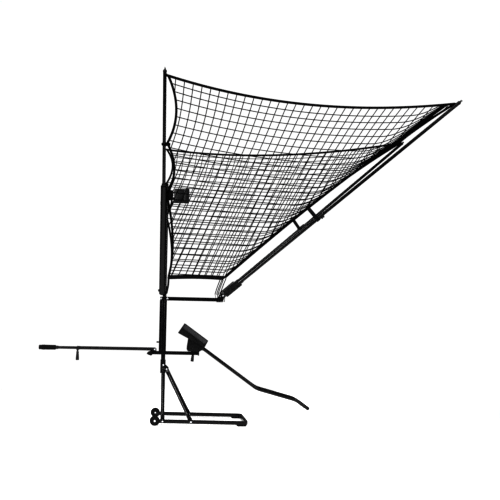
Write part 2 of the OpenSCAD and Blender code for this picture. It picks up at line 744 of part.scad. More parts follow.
// Bent tube closed at its far end, with its bore open at the near one
module bent_tube(path, y, od, t_wall, n = 24) {
    m = len(path) - 1;
    dir = [for (i = [0:m]) unit(path[min(i + 1, m)] - path[max(i - 1, 0)])];
    outer = [for (i = [0:m]) each ring(path[i], dir[i], y, od / 2, n)];
    // the bore ends a wall's thickness before the tube does
    bore_end = path[m] - t_wall * dir[m];
    inner = [for (i = [0:m]) each ring(i < m ? path[i] : bore_end, dir[i], y, od / 2 - t_wall, n)];
    k = (m + 1) * n;
    function id(i, j) = i * n + j % n;
    polyhedron(concat(outer, inner), [
        for (i = [0:m - 1]) for (j = [0:n - 1]) each [
            [id(i, j), id(i, j + 1), id(i + 1, j + 1), id(i + 1, j)],
            [k + id(i, j), k + id(i + 1, j), k + id(i + 1, j + 1), k + id(i, j + 1)]],
        for (j = [0:n - 1]) [id(0, j), k + id(0, j), k + id(0, j + 1), id(0, j + 1)],
        [for (j = [0:n - 1]) id(m, j)],
        [for (j = [n - 1:-1:0]) k + id(m, j)]]);
}

module ramp_rail(s) machine() color(black)
    bent_tube(rounded(rail_path, 50), s * ramp_y, ramp_d, wall);
module ramp_rail_left() ramp_rail(LEFT);
module ramp_rail_right() ramp_rail(RIGHT);

// Cross ties that hold the two rails apart, below the ball's path
module ramp_ties() machine() color(black) {
    w = ramp_y - ramp_d / 2;
    for (p = [between(rail_path[0], rail_path[1], 0.5), rail_path[1], rail_path[2], rail_path[3]])
        across(p[0], p[1], -w, w, 16);
}

module swivel_lock() machine() color(plastic)
    translate([swivel_lock_x, 0, beam_z]) rotate([0, swivel_lock_tilt, 0])
        translate([0, 0, -3]) pull_knob(39.5, 0);

// ---- Net -------------------------------------------------------------------

// Closed sheet through grid points g[row][column], thickened by the vector off
module sheet(g, off) {
    n = len(g) - 1;
    m = len(g[0]) - 1;
    k = (n + 1) * (m + 1);
    low = [for (row = g) each row];
    // corners of cell (i, j), and the two triangles of a four-sided face
    function id(i, j) = i * (m + 1) + j;
    function quad(a, b, c, d) = [[a, b, c], [a, c, d]];
    faces = [
        for (i = [0:n - 1]) for (j = [0:m - 1]) each concat(
            quad(id(i, j), id(i + 1, j), id(i + 1, j + 1), id(i, j + 1)),
            quad(k + id(i, j), k + id(i, j + 1), k + id(i + 1, j + 1), k + id(i + 1, j))),
        for (i = [0:n - 1]) each concat(
            quad(id(i, 0), k + id(i, 0), k + id(i + 1, 0), id(i + 1, 0)),
            quad(id(i, m), id(i + 1, m), k + id(i + 1, m), k + id(i, m))),
        for (j = [0:m - 1]) each concat(
            quad(id(0, j), id(0, j + 1), k + id(0, j + 1), k + id(0, j)),
            quad(id(n, j), k + id(n, j), k + id(n, j + 1), id(n, j + 1)))];
    polyhedron(concat(low, [for (p = low) p + off]), faces);
}

// Point of the left side panel: u from back to front, v from mouth to top rope.
// The top rope bows down, the back and front edges bow towards the panel.
function side_point(u, v) =
    between(between(side_corners[0], side_corners[1], u), between(side_corners[3], side_corners[2], u), v)
    + 4 * u * (1 - u) * v * v * [-30, -50, -150]
    + 4 * v * (1 - v) * (1 - u) * (1 - u) * [50, 0, 0]
    + 4 * v * (1 - v) * u * u * [-40, 0, 50];

module net_side_left() machine() color(cloth)
    sheet([for (u = [0:0.125:1]) [for (v = [0:0.125:1]) side_point(u, v)]], [0, net_t, 0]);
module net_side_right() machine() color(cloth) mirror([0, 1, 0])
    sheet([for (u = [0:0.125:1]) [for (v = [0:0.125:1]) side_point(u, v)]], [0, net_t, 0]);

// Front panel between the arms: w from right to left, v from bottom to top rope
function front_point(w, v) =
    let (edge = between(front_corners[0], front_corners[1], v))
    [edge[0] - 110 * (1 - w * w) * v * v, w * edge[1], edge[2] - 90 * (1 - w * w) * v * v];

module net_front() machine() color(cloth)
    sheet([for (w = [-1:0.25:1]) [for (v = [0:0.125:1]) front_point(w, v)]], net_t * [-0.62, 0, 0.78]);

// Webbing ring round the funnel's mouth
module net_hem() machine() color(cloth) {
    c = [[mouth_back, mouth_y], [mouth_front, mouth_y], [mouth_front, -mouth_y], [mouth_back, -mouth_y]];
    for (i = [0:3]) {
        a = [c[i][0], c[i][1], mouth_z];
        b = [c[(i + 1) % 4][0], c[(i + 1) % 4][1], mouth_z];
        rod(a, b, hem_d);
        translate(a) sphere(d = hem_d);
    }
}

// Straps from the mouth's back corners to the hub, cords from its front corners to the crossbar
module net_straps() machine() color(cloth) for (s = [LEFT, RIGHT]) {
    rod([36, s * (mouth_y - 4), mouth_z - 20], [24, s * 88, 1512], 12);
    for (x = [-9, 9]) rod([mouth_front + x - 2, s * (mouth_y - 10), mouth_z - 18],
                          [634 + x, s * 150, bar_z + bar_s + 8], 6);
}

base_rail_left();
base_rail_right();
base_crossbar();
base_skids();
wheel_brackets();
wheel_axles();
tyre_left();
hub_left();
tyre_right();
hub_right();
leg_left();
leg_right();
brace_left();
brace_right();
frame_bolts();
apex_bracket();
stub_tube();
beam();
end_plugs();
post_spigot();
mast_post();
post_pin();
head_clamp();
upright();
pole_hub();
pole_outer_left();
pole_outer_right();
pole_inner_left();
pole_inner_right();
pole_collars();
pole_tips();
pole_pin_left();
pole_pin_right();
basket_bar();
front_crossbar();
pivot_bolts();
arm_sleeves();
arm_outer_left();
arm_outer_right();
arm_inner_left();
arm_inner_right();
arm_collars();
arm_tips();
sensor_box();
sensor_bracket();
handle_outer();
handle_inner();
handle_grip();
handle_lock();
pedestal();
ramp_tray();
ramp_rail_left();
ramp_rail_right();
ramp_ties();
swivel_lock();
net_side_left();
net_side_right();
net_front();
net_hem();
net_straps();
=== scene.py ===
"""Looks of a free-standing ball catch-and-return machine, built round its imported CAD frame.

Metres, +Z up, +X the way the ramp points, +Y to the machine's left.
"""

import json
import math

import bpy
import numpy as np
from mathutils import Matrix, Vector


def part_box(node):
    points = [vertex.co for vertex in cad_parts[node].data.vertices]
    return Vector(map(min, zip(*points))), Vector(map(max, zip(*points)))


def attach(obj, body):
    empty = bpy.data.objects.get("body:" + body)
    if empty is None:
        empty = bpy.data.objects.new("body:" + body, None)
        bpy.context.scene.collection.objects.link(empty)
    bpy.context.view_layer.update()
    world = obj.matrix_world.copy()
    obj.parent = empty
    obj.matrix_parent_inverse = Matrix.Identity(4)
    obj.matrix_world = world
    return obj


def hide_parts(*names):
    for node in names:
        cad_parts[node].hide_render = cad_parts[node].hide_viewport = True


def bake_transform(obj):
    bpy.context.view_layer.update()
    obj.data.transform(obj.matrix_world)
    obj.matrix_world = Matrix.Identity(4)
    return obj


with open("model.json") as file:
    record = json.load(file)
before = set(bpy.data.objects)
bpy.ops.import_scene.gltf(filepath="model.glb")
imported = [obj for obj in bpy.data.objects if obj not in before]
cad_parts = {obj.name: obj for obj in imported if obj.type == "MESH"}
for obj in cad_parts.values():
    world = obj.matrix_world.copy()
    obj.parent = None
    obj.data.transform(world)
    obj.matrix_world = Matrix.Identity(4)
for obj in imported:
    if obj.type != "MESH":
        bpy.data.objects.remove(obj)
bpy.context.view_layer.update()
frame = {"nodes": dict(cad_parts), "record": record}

AHEAD, LEFT, UP = np.eye(3)
SIDES = (("left", 1), ("right", -1))

# Driving sizes
CELL_WIDE = 0.094           # gap between the net's uprights
CELL_TALL = 0.086           # gap between its cross cords
CELL_FRONT = 0.104          # gap between the rows of the panel between the arms
CORD = 0.0048               # radius of a net cord
ROPE = 0.0125               # radius of the ropes round the net
FRONT_CORD = CORD * 0.68    # radius of the cords between the arms
FRONT_ROPE = ROPE * 0.55    # radius of the rope between the arms' tips
TIE = 0.006                 # radius of the thin lashings
TOP_SAG = 0.158             # how far the top ropes hang below their ends
TOP_PULL = np.array([0.45, 0.35, 0.88])     # shares of it that go back, inwards and down
FRONT_SAG = (0.13, 0.080)   # how far the panel between the arms hangs back and down
EDGE_BOW = 0.066            # how far the front edge ropes bow above a straight line
HEM_TALL = 0.027            # height of the webbing round the mouth
HEM_ROUND = 0.035           # radius of its corners
HEM_ARCH = 0.010            # rise of its middle over its corners
HEM_RISE = 0.006            # rise of its front over its back
HEM_THICK = 0.009           # thickness of the webbing
SEWN = 0.30                 # the seams' distance from its middle, as a share of its height
STITCH_GAP = 0.011          # from one stitch to the next
STITCH = 0.007              # length of one stitch
CORDS_AT = (0.634, 0.150)   # the mouth's front cords on the crossbar: ahead of the mast, and out
CORD_REACH = (-0.021, 0.018)    # the two cords of a pair stand this far behind and ahead of that
ARM_TIE = 0.622             # the front rope's strap, as a share of its run from the arm's tip
SHARP_FROM = 38             # edges steeper than this, in degrees, are shaded sharp

# Where the back rope is tied to the pole, as a share of the rope's height from the mouth,
# and how far it bows forwards below, between and above the ties
BACK_TIES = (0.45, 0.70)
BACK_BOWS = (0.066, 0.078, 0.086)


# ---- Reading places off the frame ----

def points(node, side=0):
    """Vertices of a CAD node as an array, or only those on one side of the middle plane."""
    mesh = frame["nodes"][node].data
    co = np.empty(len(mesh.vertices) * 3)
    mesh.vertices.foreach_get("co", co)
    co = co.reshape(-1, 3)
    return co[co[:, 1] * side > 0] if side else co


def at(x, y, z):
    return np.array([x, y, z])


def unit(v):
    return np.asarray(v, float) / np.linalg.norm(v)


def mix(a, b, t):
    return a + (b - a) * t


def flip(p, side):
    """Point p on the left side, or mirrored to the right."""
    return at(p[0], p[1] * side, p[2])


def smooth(t):
    t = np.clip(t, 0, 1)
    return t * t * (3 - 2 * t)


def axis_ends(node):
    """Lower and upper end of a straight tube's axis."""
    co = points(node)
    centre = co.mean(0)
    way = np.linalg.svd(co - centre, full_matrices=False)[2][0]
    way *= np.sign(way[2]) or 1
    along = (co - centre) @ way
    return centre + way * along.min(), centre + way * along.max()


def middle(co):
    """Middle of the box round some points."""
    return (co.min(0) + co.max(0)) / 2


def ends(node):
    """Low and high corner of a CAD node's box."""
    return tuple(np.array(c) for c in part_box(node))


mast_x = sum(ends("upright"))[0] / 2
pole_foot = axis_ends("pole_outer_left")[0]
pole_tip = axis_ends("pole_inner_left")[1]
arm_foot = axis_ends("arm_outer_left")[0]
arm_tip = axis_ends("arm_inner_left")[1]
pole_dir = unit(pole_tip - pole_foot)
arm_dir = unit(arm_tip - arm_foot)
hem_lo, hem_hi = ends("net_hem")
hem_r = (hem_hi[2] - hem_lo[2]) / 2

# Corners of the left side panel
mouth_back = at(hem_lo[0] + hem_r, hem_hi[1] - hem_r, hem_lo[2] + hem_r)
mouth_front = at(hem_hi[0] - hem_r, hem_hi[1] - hem_r, hem_lo[2] + hem_r)
top_back = pole_tip + at(0.018, -0.012, -0.028)
top_front = arm_tip + at(-0.030, -0.030, 0.004)


# ---- Mesh helpers ----

def circle(count):
    """Evenly spaced angles round a full turn."""
    return np.arange(count) * 2 * math.pi / count


def aside(way):
    """Some direction square to another."""
    return unit(np.cross(way, UP if abs(way[2]) < 0.9 else AHEAD))


def ellipse(centre, axis, radii, count):
    """Closed path round an axis; radii are its half sizes."""
    a = unit(np.cross(axis, LEFT))
    b = np.cross(axis, a)
    turn = circle(count)
    return centre + np.outer(np.cos(turn), a * radii[0]) + np.outer(np.sin(turn), b * radii[1])


def rounded(centre, across, up, half, r, inset=0.0, count=5):
    """Rounded rectangle outline; half is its two half sizes, inset shrinks only its corners' radius."""
    ring = []
    for a, b, start in ((1, 1, 0), (-1, 1, 90), (-1, -1, 180), (1, -1, 270)):
        for t in np.radians(np.linspace(start, start + 90, count)):
            ring.append(centre + across * (a * (half[0] - r) + (r - inset) * math.cos(t))
                        + up * (b * (half[1] - r) + (r - inset) * math.sin(t)))
    return np.array(ring)


def flat_ring(p, w, h, share, c):
    """Flat bar's outline with its long edges broken; w and h are its half width and half thickness."""
    one = [p - w - h * c, p - w * share - h, p + w * share - h, p + w - h * c]
    other = [p + w + h * c, p + w * share + h, p - w * share + h, p - w + h * c]
    return one + other


def linked(name, data):
    """New object in the scene."""
    obj = bpy.data.objects.new(name, data)
    bpy.context.scene.collection.objects.link(obj)
    return obj


def mm(*pairs):
    """Pairs of millimetres, in metres."""
    return [(a / 1000, b / 1000) for a, b in pairs]


class Build:
    """Collects lofted parts into one mesh; its UV map is a share of the way round, and metres along."""

    def __init__(self):
        self.verts, self.faces, self.uvs = [], [], []

    def loft(self, rings, closed=False):
        """Skin over rings (m, n, 3), capped at both ends, or with the last ring joined to the first."""
        rings = np.asarray(rings, float)
        m, n = rings.shape[:2]
        base = len(self.verts)
        self.verts.extend(map(tuple, rings.reshape(-1, 3)))
        step = np.linalg.norm(np.diff(rings.mean(1), axis=0), axis=1)
        v = np.concatenate([[0], np.cumsum(step)])
        last = m if closed else m - 1
        for i in range(last):
            a, b = base + i * n, base + ((i + 1) % m) * n
            v0 = v[i]
            v1 = v[i + 1] if i + 1 < m else v[i] + step[-1]
            for j in range(n):
                k = (j + 1) % n
                self.faces.append((a + j, a + k, b + k, b + j))
                u0, u1 = j / n, (j + 1) / n
                self.uvs.extend([(u0, v0), (u1, v0), (u1, v1), (u0, v1)])
        if not closed:
            for ring, order in ((0, -1), (m - 1, 1)):
                self.faces.append(tuple(base + ring * n + j for j in range(n))[::order])
                self.uvs.extend([(0.5, v[ring])] * n)
        return self

    def tube(self, path, radius, sides=6, closed=False):
        """Round tube along a path; radius is one number, or one for each point."""
        path = np.asarray(path, float)
        tangent = np.roll(path, -1, 0) - np.roll(path, 1, 0)
        if not closed:
            tangent[0], tangent[-1] = path[1] - path[0], path[-1] - path[-2]
        tangent /= np.linalg.norm(tangent, axis=1)[:, None]
        radius = np.broadcast_to(radius, len(path))
        normal = aside(tangent[0])
        rings = []
        turn = circle(sides)
        for p, t, r in zip(path, tangent, radius):
            normal = unit(normal - t * (normal @ t))
            other = np.cross(t, normal)
            rings.append(p + r * (np.outer(np.cos(turn), normal) + np.outer(np.sin(turn), other)))
        return self.loft(rings, closed)

    def band(self, path, across, width, thick):
        """Flat webbing along a path; across is the direction of its width, one or one for each point."""
        path = np.asarray(path, float)
        across = np.broadcast_to(np.asarray(across, float), path.shape)
        tangent = np.gradient(path, axis=0)
        rings = []
        for p, t, a in zip(path, tangent, across):
            a = unit(a - unit(t) * (a @ unit(t)))
            n = unit(np.cross(t, a))
            rings.append(flat_ring(p, a * width / 2, n * thick / 2, 0.93, 0.35))
        return self.loft(rings)

    def lathe(self, profile, origin, axis, sides=40, flutes=0, depth=0.0, closed=False):
        """Turned shape: profile is (distance along axis, radius); flutes cut shallow grooves into it."""
        axis = unit(axis)
        normal = aside(axis)
        other = np.cross(axis, normal)
        turn = circle(sides)
        cut = 1 - depth * (0.5 + 0.5 * np.cos(turn * flutes)) if flutes else np.ones(sides)
        rings = [np.asarray(origin) + axis * h
                 + np.outer(np.cos(turn) * r * cut, normal) + np.outer(np.sin(turn) * r * cut, other)
                 for h, r in profile]
        return self.loft(rings, closed=closed)

    def hollow(self, a, b, outer, inner, rim=0.0008):
        """Open-ended tube from a to b with slightly broken edges."""
        h = np.linalg.norm(b - a)
        profile = [(0, inner + rim), (0, outer - rim), (rim, outer), (h - rim, outer), (h, outer - rim),
                   (h, inner + rim), (h - rim, inner), (rim, inner)]
        return self.lathe(profile, a, b - a, 48, closed=True)

    def weld(self, centre, axis, radii, bead=0.0032):
        """Fillet of overlapping ripples round a joint; radii are its half sizes across the axis."""
        path = ellipse(centre, axis, radii, 72)
        return self.tube(path, bead * (1 + 0.16 * np.sin(circle(72) * 24)), sides=8, closed=True)

    def seam(self, a, b, bead=0.0026):
        """Straight weld bead."""
        a, b = np.asarray(a, float), np.asarray(b, float)
        t = np.linspace(0, 1, max(6, int(np.linalg.norm(b - a) / 0.003)))
        ripples = 1 + 0.16 * np.sin(np.arange(len(t)) * 1.9)
        return self.tube([mix(a, b, k) for k in t], bead * ripples, sides=8)

    def hex_head(self, centre, axis, across, height, washer=True):
        """Chamfered hex head standing on centre, with a washer under it and a shallow dish on top."""
        r = across / math.sqrt(3)
        if washer:
            self.lathe([(0, 0.0045), (0, across * 0.64), (0.0016, across * 0.65), (0.0020, across * 0.62),
                        (0.0020, 0.0045)], centre, axis, 36)
            centre = np.asarray(centre, float) + unit(axis) * 0.0020
        self.lathe([(0, r * 0.97), (height * 0.08, r), (height * 0.82, r), (height, r * 0.86)],
                   centre, axis, 6)
        return self.lathe([(height * 0.9, r * 0.80), (height * 1.02, r * 0.78), (height * 1.02, r * 0.5),
                           (height * 0.97, r * 0.42)], centre, axis, 32)

    def piece(self, name, slot, body=None, replaces=(), look=None):
        """Makes the object, smooth shaded, with its slot's look unless another look is given, under its body,
        and hides the CAD nodes it stands for.
        """
        mesh = bpy.data.meshes.new(name)
        mesh.from_pydata(self.verts, [], self.faces)
        layer = mesh.uv_layers.new(name="run")
        layer.data.foreach_set("uv", np.asarray(self.uvs, float).ravel())
        mesh.polygons.foreach_set("use_smooth", [True] * len(mesh.polygons))
        mesh.materials.append(look or SLOT_LOOKS[slot])
        obj = linked(name, mesh)
        mesh.update()
        mesh.set_sharp_from_angle(angle=math.radians(SHARP_FROM))
        if replaces:
            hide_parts(*replaces)
        if body:
            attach(obj, body)
        return obj


def curve(stops, count):
    """Smooth curve through a few stops (Catmull-Rom), evenly stepped between them."""
    stops = [np.asarray(s, float) for s in stops]
    ends = [2 * stops[0] - stops[1], *stops, 2 * stops[-1] - stops[-2]]
    out = []
    for i in range(1, len(ends) - 2):
        a, b, c, d = ends[i - 1:i + 3]
        for t in np.linspace(0, 1, count, endpoint=False):
            out.append(0.5 * (2 * b + (c - a) * t + (2 * a - 5 * b + 4 * c - d) * t * t
                              + (3 * b - a - 3 * c + d) * t ** 3))
    out.append(stops[-1])
    return np.array(out)


# ---- Materials ----

class Look:
    """Short hand for a node material with one Principled shader."""

    def __init__(self, name, base, rough, spec=0.5, metal=0.0):
        self.m = bpy.data.materials.new(name)
        self.m.use_nodes = True
        self.m.diffuse_color = (*base, 1)
        self.bsdf = self.m.node_tree.nodes["Principled BSDF"]
        for plug, value in (("Base Color", base), ("Roughness", rough),
                            ("Specular IOR Level", spec), ("Metallic", metal)):
            self.set(plug, value)
        self.coords = self.node("TexCoord")
        self.bump = None

    def feed(self, plug, value):
        """Links another node's output to a plug, or sets the plug to a number, vector or colour."""
        if isinstance(value, bpy.types.NodeSocket):
            self.m.node_tree.links.new(value, plug)
        else:
            plug.default_value = (*value, 1) if plug.type == "RGBA" else value

    def set(self, name, value):
        self.feed(self.bsdf.inputs[name], value)

    def node(self, kind, **plugs):
        """New node with some of its plugs fed."""
        n = self.m.node_tree.nodes.new("ShaderNode" + kind)
        for name, value in plugs.items():
            self.feed(n.inputs[name], value)
        return n

    def noise(self, scale, detail=4.0, rough=0.5, stretch=None, uv=False):
        source = self.coords.outputs["UV" if uv else "Object"]
        if stretch:
            source = self.node("Mapping", Vector=source, Scale=stretch).outputs["Vector"]
        n = self.node("TexNoise", Vector=source, Scale=scale, Detail=detail, Roughness=rough)
        return n.outputs["Fac"]

    def waves(self, across, along, sharp=False):
        """Bands whose count round and along the piece is given, as on a laid rope or a woven strap."""
        place = self.node("Mapping", Vector=self.coords.outputs["UV"], Scale=(across, along, 1))
        w = self.node("TexWave", Vector=place.outputs["Vector"], Scale=1.0, Distortion=0.6)
        w.bands_direction = "DIAGONAL"
        w.wave_profile = "TRI" if sharp else "SIN"
        return w.outputs["Fac"]

    def ramp(self, source, low, high, at=(0.0, 1.0)):
        """Colours or greys between two stops."""
        r = self.node("ValToRGB", Fac=source)
        for stop, value, place in zip(r.color_ramp.elements, (low, high), at):
            stop.position = place
            stop.color = (*value, 1) if hasattr(value, "__len__") else (value,) * 3 + (1,)
        return r.outputs["Color"]

    def maths(self, kind, *values):
        n = self.node("Math")
        n.operation = kind
        for plug, value in zip(n.inputs, values):
            self.feed(plug, value)
        return n.outputs["Value"]

    def blend_colour(self, factor, a, b):
        n = self.node("Mix", Factor=factor)
        n.data_type = "RGBA"
        for name, value in (("A", a), ("B", b)):
            self.feed(next(i for i in n.inputs if i.name == name and i.type == "RGBA"), value)
        return next(o for o in n.outputs if o.type == "RGBA")

    def upward(self):
        """1 on faces that look up, where dust settles."""
        normal = self.node("NewGeometry").outputs["Normal"]
        return self.ramp(self.node("SeparateXYZ", Vector=normal).outputs["Z"], 0.0, 1.0, at=(0.55, 1.0))

    def relief(self, height, strength, distance):
        b = self.node("Bump", Strength=strength, Distance=distance, Height=height)
        if self.bump:
            self.feed(b.inputs["Normal"], self.bump)
        self.bump = b.outputs["Normal"]
        self.set("Normal", self.bump)


def powder_coat():
    """Satin black powder coat: orange peel, faint mottling, dust on top and fine rubbed scratches."""
    k = Look("powder_coat", (0.003, 0.003, 0.0033), 0.3, spec=0.36)
    mottle = k.ramp(k.noise(9, 5), (0.0015, 0.0015, 0.002), (0.004, 0.004, 0.0045), at=(0.3, 0.7))
    scuffs = k.ramp(k.noise(60, 6, 0.7, stretch=(1, 1, 0.12)), 0.0, 1.0, at=(0.66, 0.80))
    worn = k.blend_colour(k.maths("MULTIPLY", scuffs, 0.35), mottle, (0.032, 0.032, 0.034))
    dusty = k.maths("MULTIPLY", k.upward(), k.maths("MULTIPLY", k.noise(26, 5), 0.06))
    k.set("Base Color", k.blend_colour(dusty, worn, (0.10, 0.098, 0.092)))
    k.set("Roughness", k.ramp(k.noise(34, 6), 0.19, 0.32, at=(0.3, 0.7)))
    k.relief(k.noise(520, 2), 0.12, 0.0006)
    return k.m


def moulded(name, base, grain=900, rough=(0.40, 0.55), spec=0.36):
    """Injection moulded plastic with a spark-eroded grain and slight flow marks."""
    k = Look(name, base, 0.5, spec=spec)
    pale = tuple(c * 1.6 + 0.001 for c in base)
    k.set("Base Color", k.ramp(k.noise(14, 4, stretch=(1, 1, 2.5)), base, pale, at=(0.3, 0.85)))
    k.set("Roughness", k.ramp(k.noise(45, 5), *rough, at=(0.3, 0.7)))
    k.relief(k.noise(grain, 3, 0.7), 0.22, 0.0004)
    return k.m


def rubber(name, grain=420, dirt=0.25):
    """Matt rubber with a pitted surface and pale dirt in patches."""
    k = Look(name, (0.006, 0.006, 0.006), 0.8, spec=0.10)
    dirt_patch = k.maths("MULTIPLY", k.ramp(k.noise(70, 6, 0.65), 0.0, 1.0, at=(0.48, 0.75)), dirt)
    k.set("Base Color", k.blend_colour(dirt_patch, (0.009, 0.009, 0.009), (0.075, 0.070, 0.062)))
    k.set("Roughness", k.ramp(k.noise(60, 4), 0.68, 0.92))
    k.relief(k.noise(grain, 5, 0.7), 0.35, 0.0008)
    return k.m


def zinc():
    """Bright zinc plate with a turned grain and a few dull spots."""
    k = Look("bright_zinc", (0.80, 0.81, 0.83), 0.28, spec=0.5, metal=0.55)
    k.set("Base Color", k.ramp(k.noise(160, 5), (0.86, 0.87, 0.89), (0.60, 0.61, 0.62), at=(0.45, 0.85)))
    k.set("Roughness", k.ramp(k.noise(210, 4, stretch=(1, 0.1, 1)), 0.20, 0.42))
    k.relief(k.noise(800, 3, stretch=(1, 0.08, 1)), 0.15, 0.0003)
    return k.m


def glass():
    """Dark lens with a clean surface and faint smears."""
    k = Look("dark_lens", (0.004, 0.004, 0.006), 0.08, spec=0.5)
    k.set("Roughness", k.ramp(k.noise(120, 4), 0.04, 0.16, at=(0.35, 0.75)))
    return k.m


def cord(name, turns, pitch, base):
    """Twisted cord: strands laid round it, with painted shade in the grooves between them and a painted
    highlight on their crowns, weakened in random patches, and fuzz in its roughness.
    """
    k = Look(name, base, 0.85, spec=0.05)
    # painted highlight on the strands' crowns, and painted shade down to about half the base colour in the
    # grooves between them
    crown_highlight = tuple(c * 2.0 + 0.001 for c in base)
    strands = k.waves(turns, pitch)
    lit = k.ramp(strands, tuple(c * 0.55 for c in base), crown_highlight, at=(0.15, 1.0))
    k.set("Base Color", k.blend_colour(k.noise(7, 4), lit, base))
    k.relief(strands, 0.55, 0.0012)
    k.relief(k.noise(2600, 3), 0.3, 0.0004)
    return k.m


def webbing(name, base):
    """Woven strap: ribs across it, crossed by the warp, with a soft sheen."""
    k = Look(name, base, 0.82, spec=0.08)
    ribs = k.waves(0.6, 420, sharp=True)
    warp = k.noise(300, 2, stretch=(1, 8, 1), uv=True)
    woven = k.maths("ADD", ribs, k.maths("MULTIPLY", warp, 0.6))
    k.set("Base Color", k.ramp(woven, tuple(c * 0.6 for c in base), tuple(c * 2.1 + 0.003 for c in base)))
    k.relief(woven, 0.6, 0.0009)
    k.set("Sheen Weight", 0.06)
    return k.m


PAINT = powder_coat()
PLASTIC = moulded("moulded_black", (0.004, 0.004, 0.0045))
TRAY = moulded("moulded_tray", (0.006, 0.006, 0.0065), grain=600, rough=(0.28, 0.40), spec=0.5)
# Lighter copy of the tray's plastic: painted light for the tray's side flanges
TRAY_PAINTED_LIGHT = moulded("moulded_tray_painted_light", (0.030, 0.030, 0.032), grain=600, rough=(0.34, 0.46), spec=0.5)
TYRE = rubber("tyre_rubber")
SKID = rubber("skid_rubber", grain=300)
GRIP = rubber("grip_rubber", grain=700, dirt=0.06)
ZINC = zinc()
CORD_LOOK = cord("net_cord", 1.0, 150, (0.003, 0.003, 0.0033))
ROPE_LOOK = cord("net_rope", 2.0, 60, (0.003, 0.003, 0.0033))
LENS = glass()
WEB = webbing("net_webbing", (0.004, 0.004, 0.0045))

SLOT_LOOKS = {
    "frame_paint": PAINT, "plastic_black": PLASTIC, "tray_plastic": TRAY, "bright_zinc": ZINC,
    "tyre_rubber": TYRE, "skid_rubber": SKID, "grip_rubber": GRIP,
    "net_cord": CORD_LOOK, "net_webbing": WEB,
}

# Radius of the rounded edges on the pieces that are shown as they come from the frame
EDGES = {
    "base_skids": 0.003,
    "wheel_brackets": 0.0010, "apex_bracket": 0.0015, "beam": 0.0015, "end_plugs": 0.0015,
    "head_clamp": 0.0020, "pole_hub": 0.0015, "basket_bar": 0.0010, "front_crossbar": 0.0010,
    "arm_sleeves": 0.0030, "sensor_bracket": 0.0012, "pedestal": 0.0060, "ramp_tray": 0.0016,
    "pole_collars": 0.0010, "arm_collars": 0.0010, "post_spigot": 0.0006, "stub_tube": 0.0006,
}


def paint_nodes():
    """Gives every CAD node its slot's look, and those listed in EDGES lightly rounded edges."""
    slots = {s["node"]: s["material_slot"] for s in frame["record"]["subparts"]}
    for name, obj in frame["nodes"].items():
        obj.data.materials.clear()
        obj.data.materials.append(SLOT_LOOKS[slots[name]])
        if name in EDGES:
            soft = obj.modifiers.new("rounded edges", "BEVEL")
            soft.width = EDGES[name]
            soft.segments = 3
            soft.limit_method = "ANGLE"
            soft.angle_limit = math.radians(35)
            soft.harden_normals = True


# ---- The net ----

def panel_y(x, z):
    """How far out the side panel stands at a place in side view, from its four corners."""
    a, b, c, d = mouth_back, mouth_front, top_front, top_back
    u, v = 0.5, 0.5
    for _ in range(12):
        low, high = mix(a, b, u), mix(d, c, u)
        p = mix(low, high, v)
        du = mix(b - a, c - d, v)
        dv = high - low
        det = du[0] * dv[2] - du[2] * dv[0]
        ex, ez = x - p[0], z - p[2]
        u += (ex * dv[2] - ez * dv[0]) / det
        v += (du[0] * ez - du[2] * ex) / det
    return mix(mix(a, b, u), mix(d, c, u), v)[1]


def on_panel(x, z, side):
    """Point of a side panel at a place in side view."""
    return at(x, side * panel_y(x, z), z)


def top_line():
    """Top rope of the left side, hanging between its pole's tip and its arm's tip."""
    t = np.linspace(0, 1, 60)[:, None]
    return mix(top_back, top_front, t) - 4 * t * (1 - t) * TOP_SAG * TOP_PULL


def front_line():
    """Rope down the arm's inner side, from the arm's tip to the mouth's front corner."""
    t = np.linspace(0, 1, 60)[:, None]
    chord = unit(mouth_front - top_front)
    rise = unit(np.cross(chord, LEFT))
    rise *= np.sign(rise[2])
    skew = t + 0.18 * t * (1 - t)       # the bow is fullest nearer the arm's tip
    return mix(top_front, mouth_front, t) + 4 * skew * (1 - skew) * EDGE_BOW * rise


def pole_at(z):
    """Point of the left pole's axis at a height."""
    return pole_foot + pole_dir * ((z - pole_foot[2]) / pole_dir[2])


def back_line():
    """Rope beside the pole, held at the ties and bowing forwards between them."""
    stops = (0.0, *BACK_TIES, 1.0)
    out = []
    for v in np.linspace(0, 1, 96):
        i = max(k for k in range(3) if v >= stops[k] - 1e-9)
        w = (v - stops[i]) / (stops[i + 1] - stops[i])
        straight = mix(mouth_back, top_back, v)
        beside = pole_at(straight[2]) + [0.035, -0.01, 0]
        held = mix(straight, beside, smooth(v / 0.4))
        out.append(held + 4 * w * (1 - w) * BACK_BOWS[i] * at(1.0, -0.25, 0))
    return np.array(out)


def inside(p, outline):
    """Whether a side view point lies inside a closed outline."""
    a, b = outline, np.roll(outline, -1, 0)
    crosses = (a[:, 1] > p[1]) != (b[:, 1] > p[1])
    reach = a[:, 0] + (p[1] - a[:, 1]) / np.where(crosses, b[:, 1] - a[:, 1], 1) * (b[:, 0] - a[:, 0])
    return np.count_nonzero(crosses & (p[0] < reach)) % 2 == 1


def even_stops(line, gap):
    """Places at equal distances along a line, without its two ends."""
    run = np.concatenate([[0], np.cumsum(np.linalg.norm(np.diff(line, axis=0), axis=1))])
    marks = np.arange(gap, run[-1] - gap * 0.4, gap)
    return np.array([[np.interp(m, run, line[:, k]) for k in range(line.shape[1])] for m in marks])


def trace(start, heading, outline):
    """Follows a direction field from a border point until it meets the border again."""
    step = 0.035
    path = [np.array(start)]
    p = path[0] + heading(path[0]) * step * 0.4
    while inside(p, outline) and len(path) < 200:
        path.append(p)
        p = p + heading(p) * step
    low, high = path[-1], p
    for _ in range(8):
        half = (low + high) / 2
        low, high = (half, high) if inside(half, outline) else (low, half)
    path.append(low)
    return np.array(path)


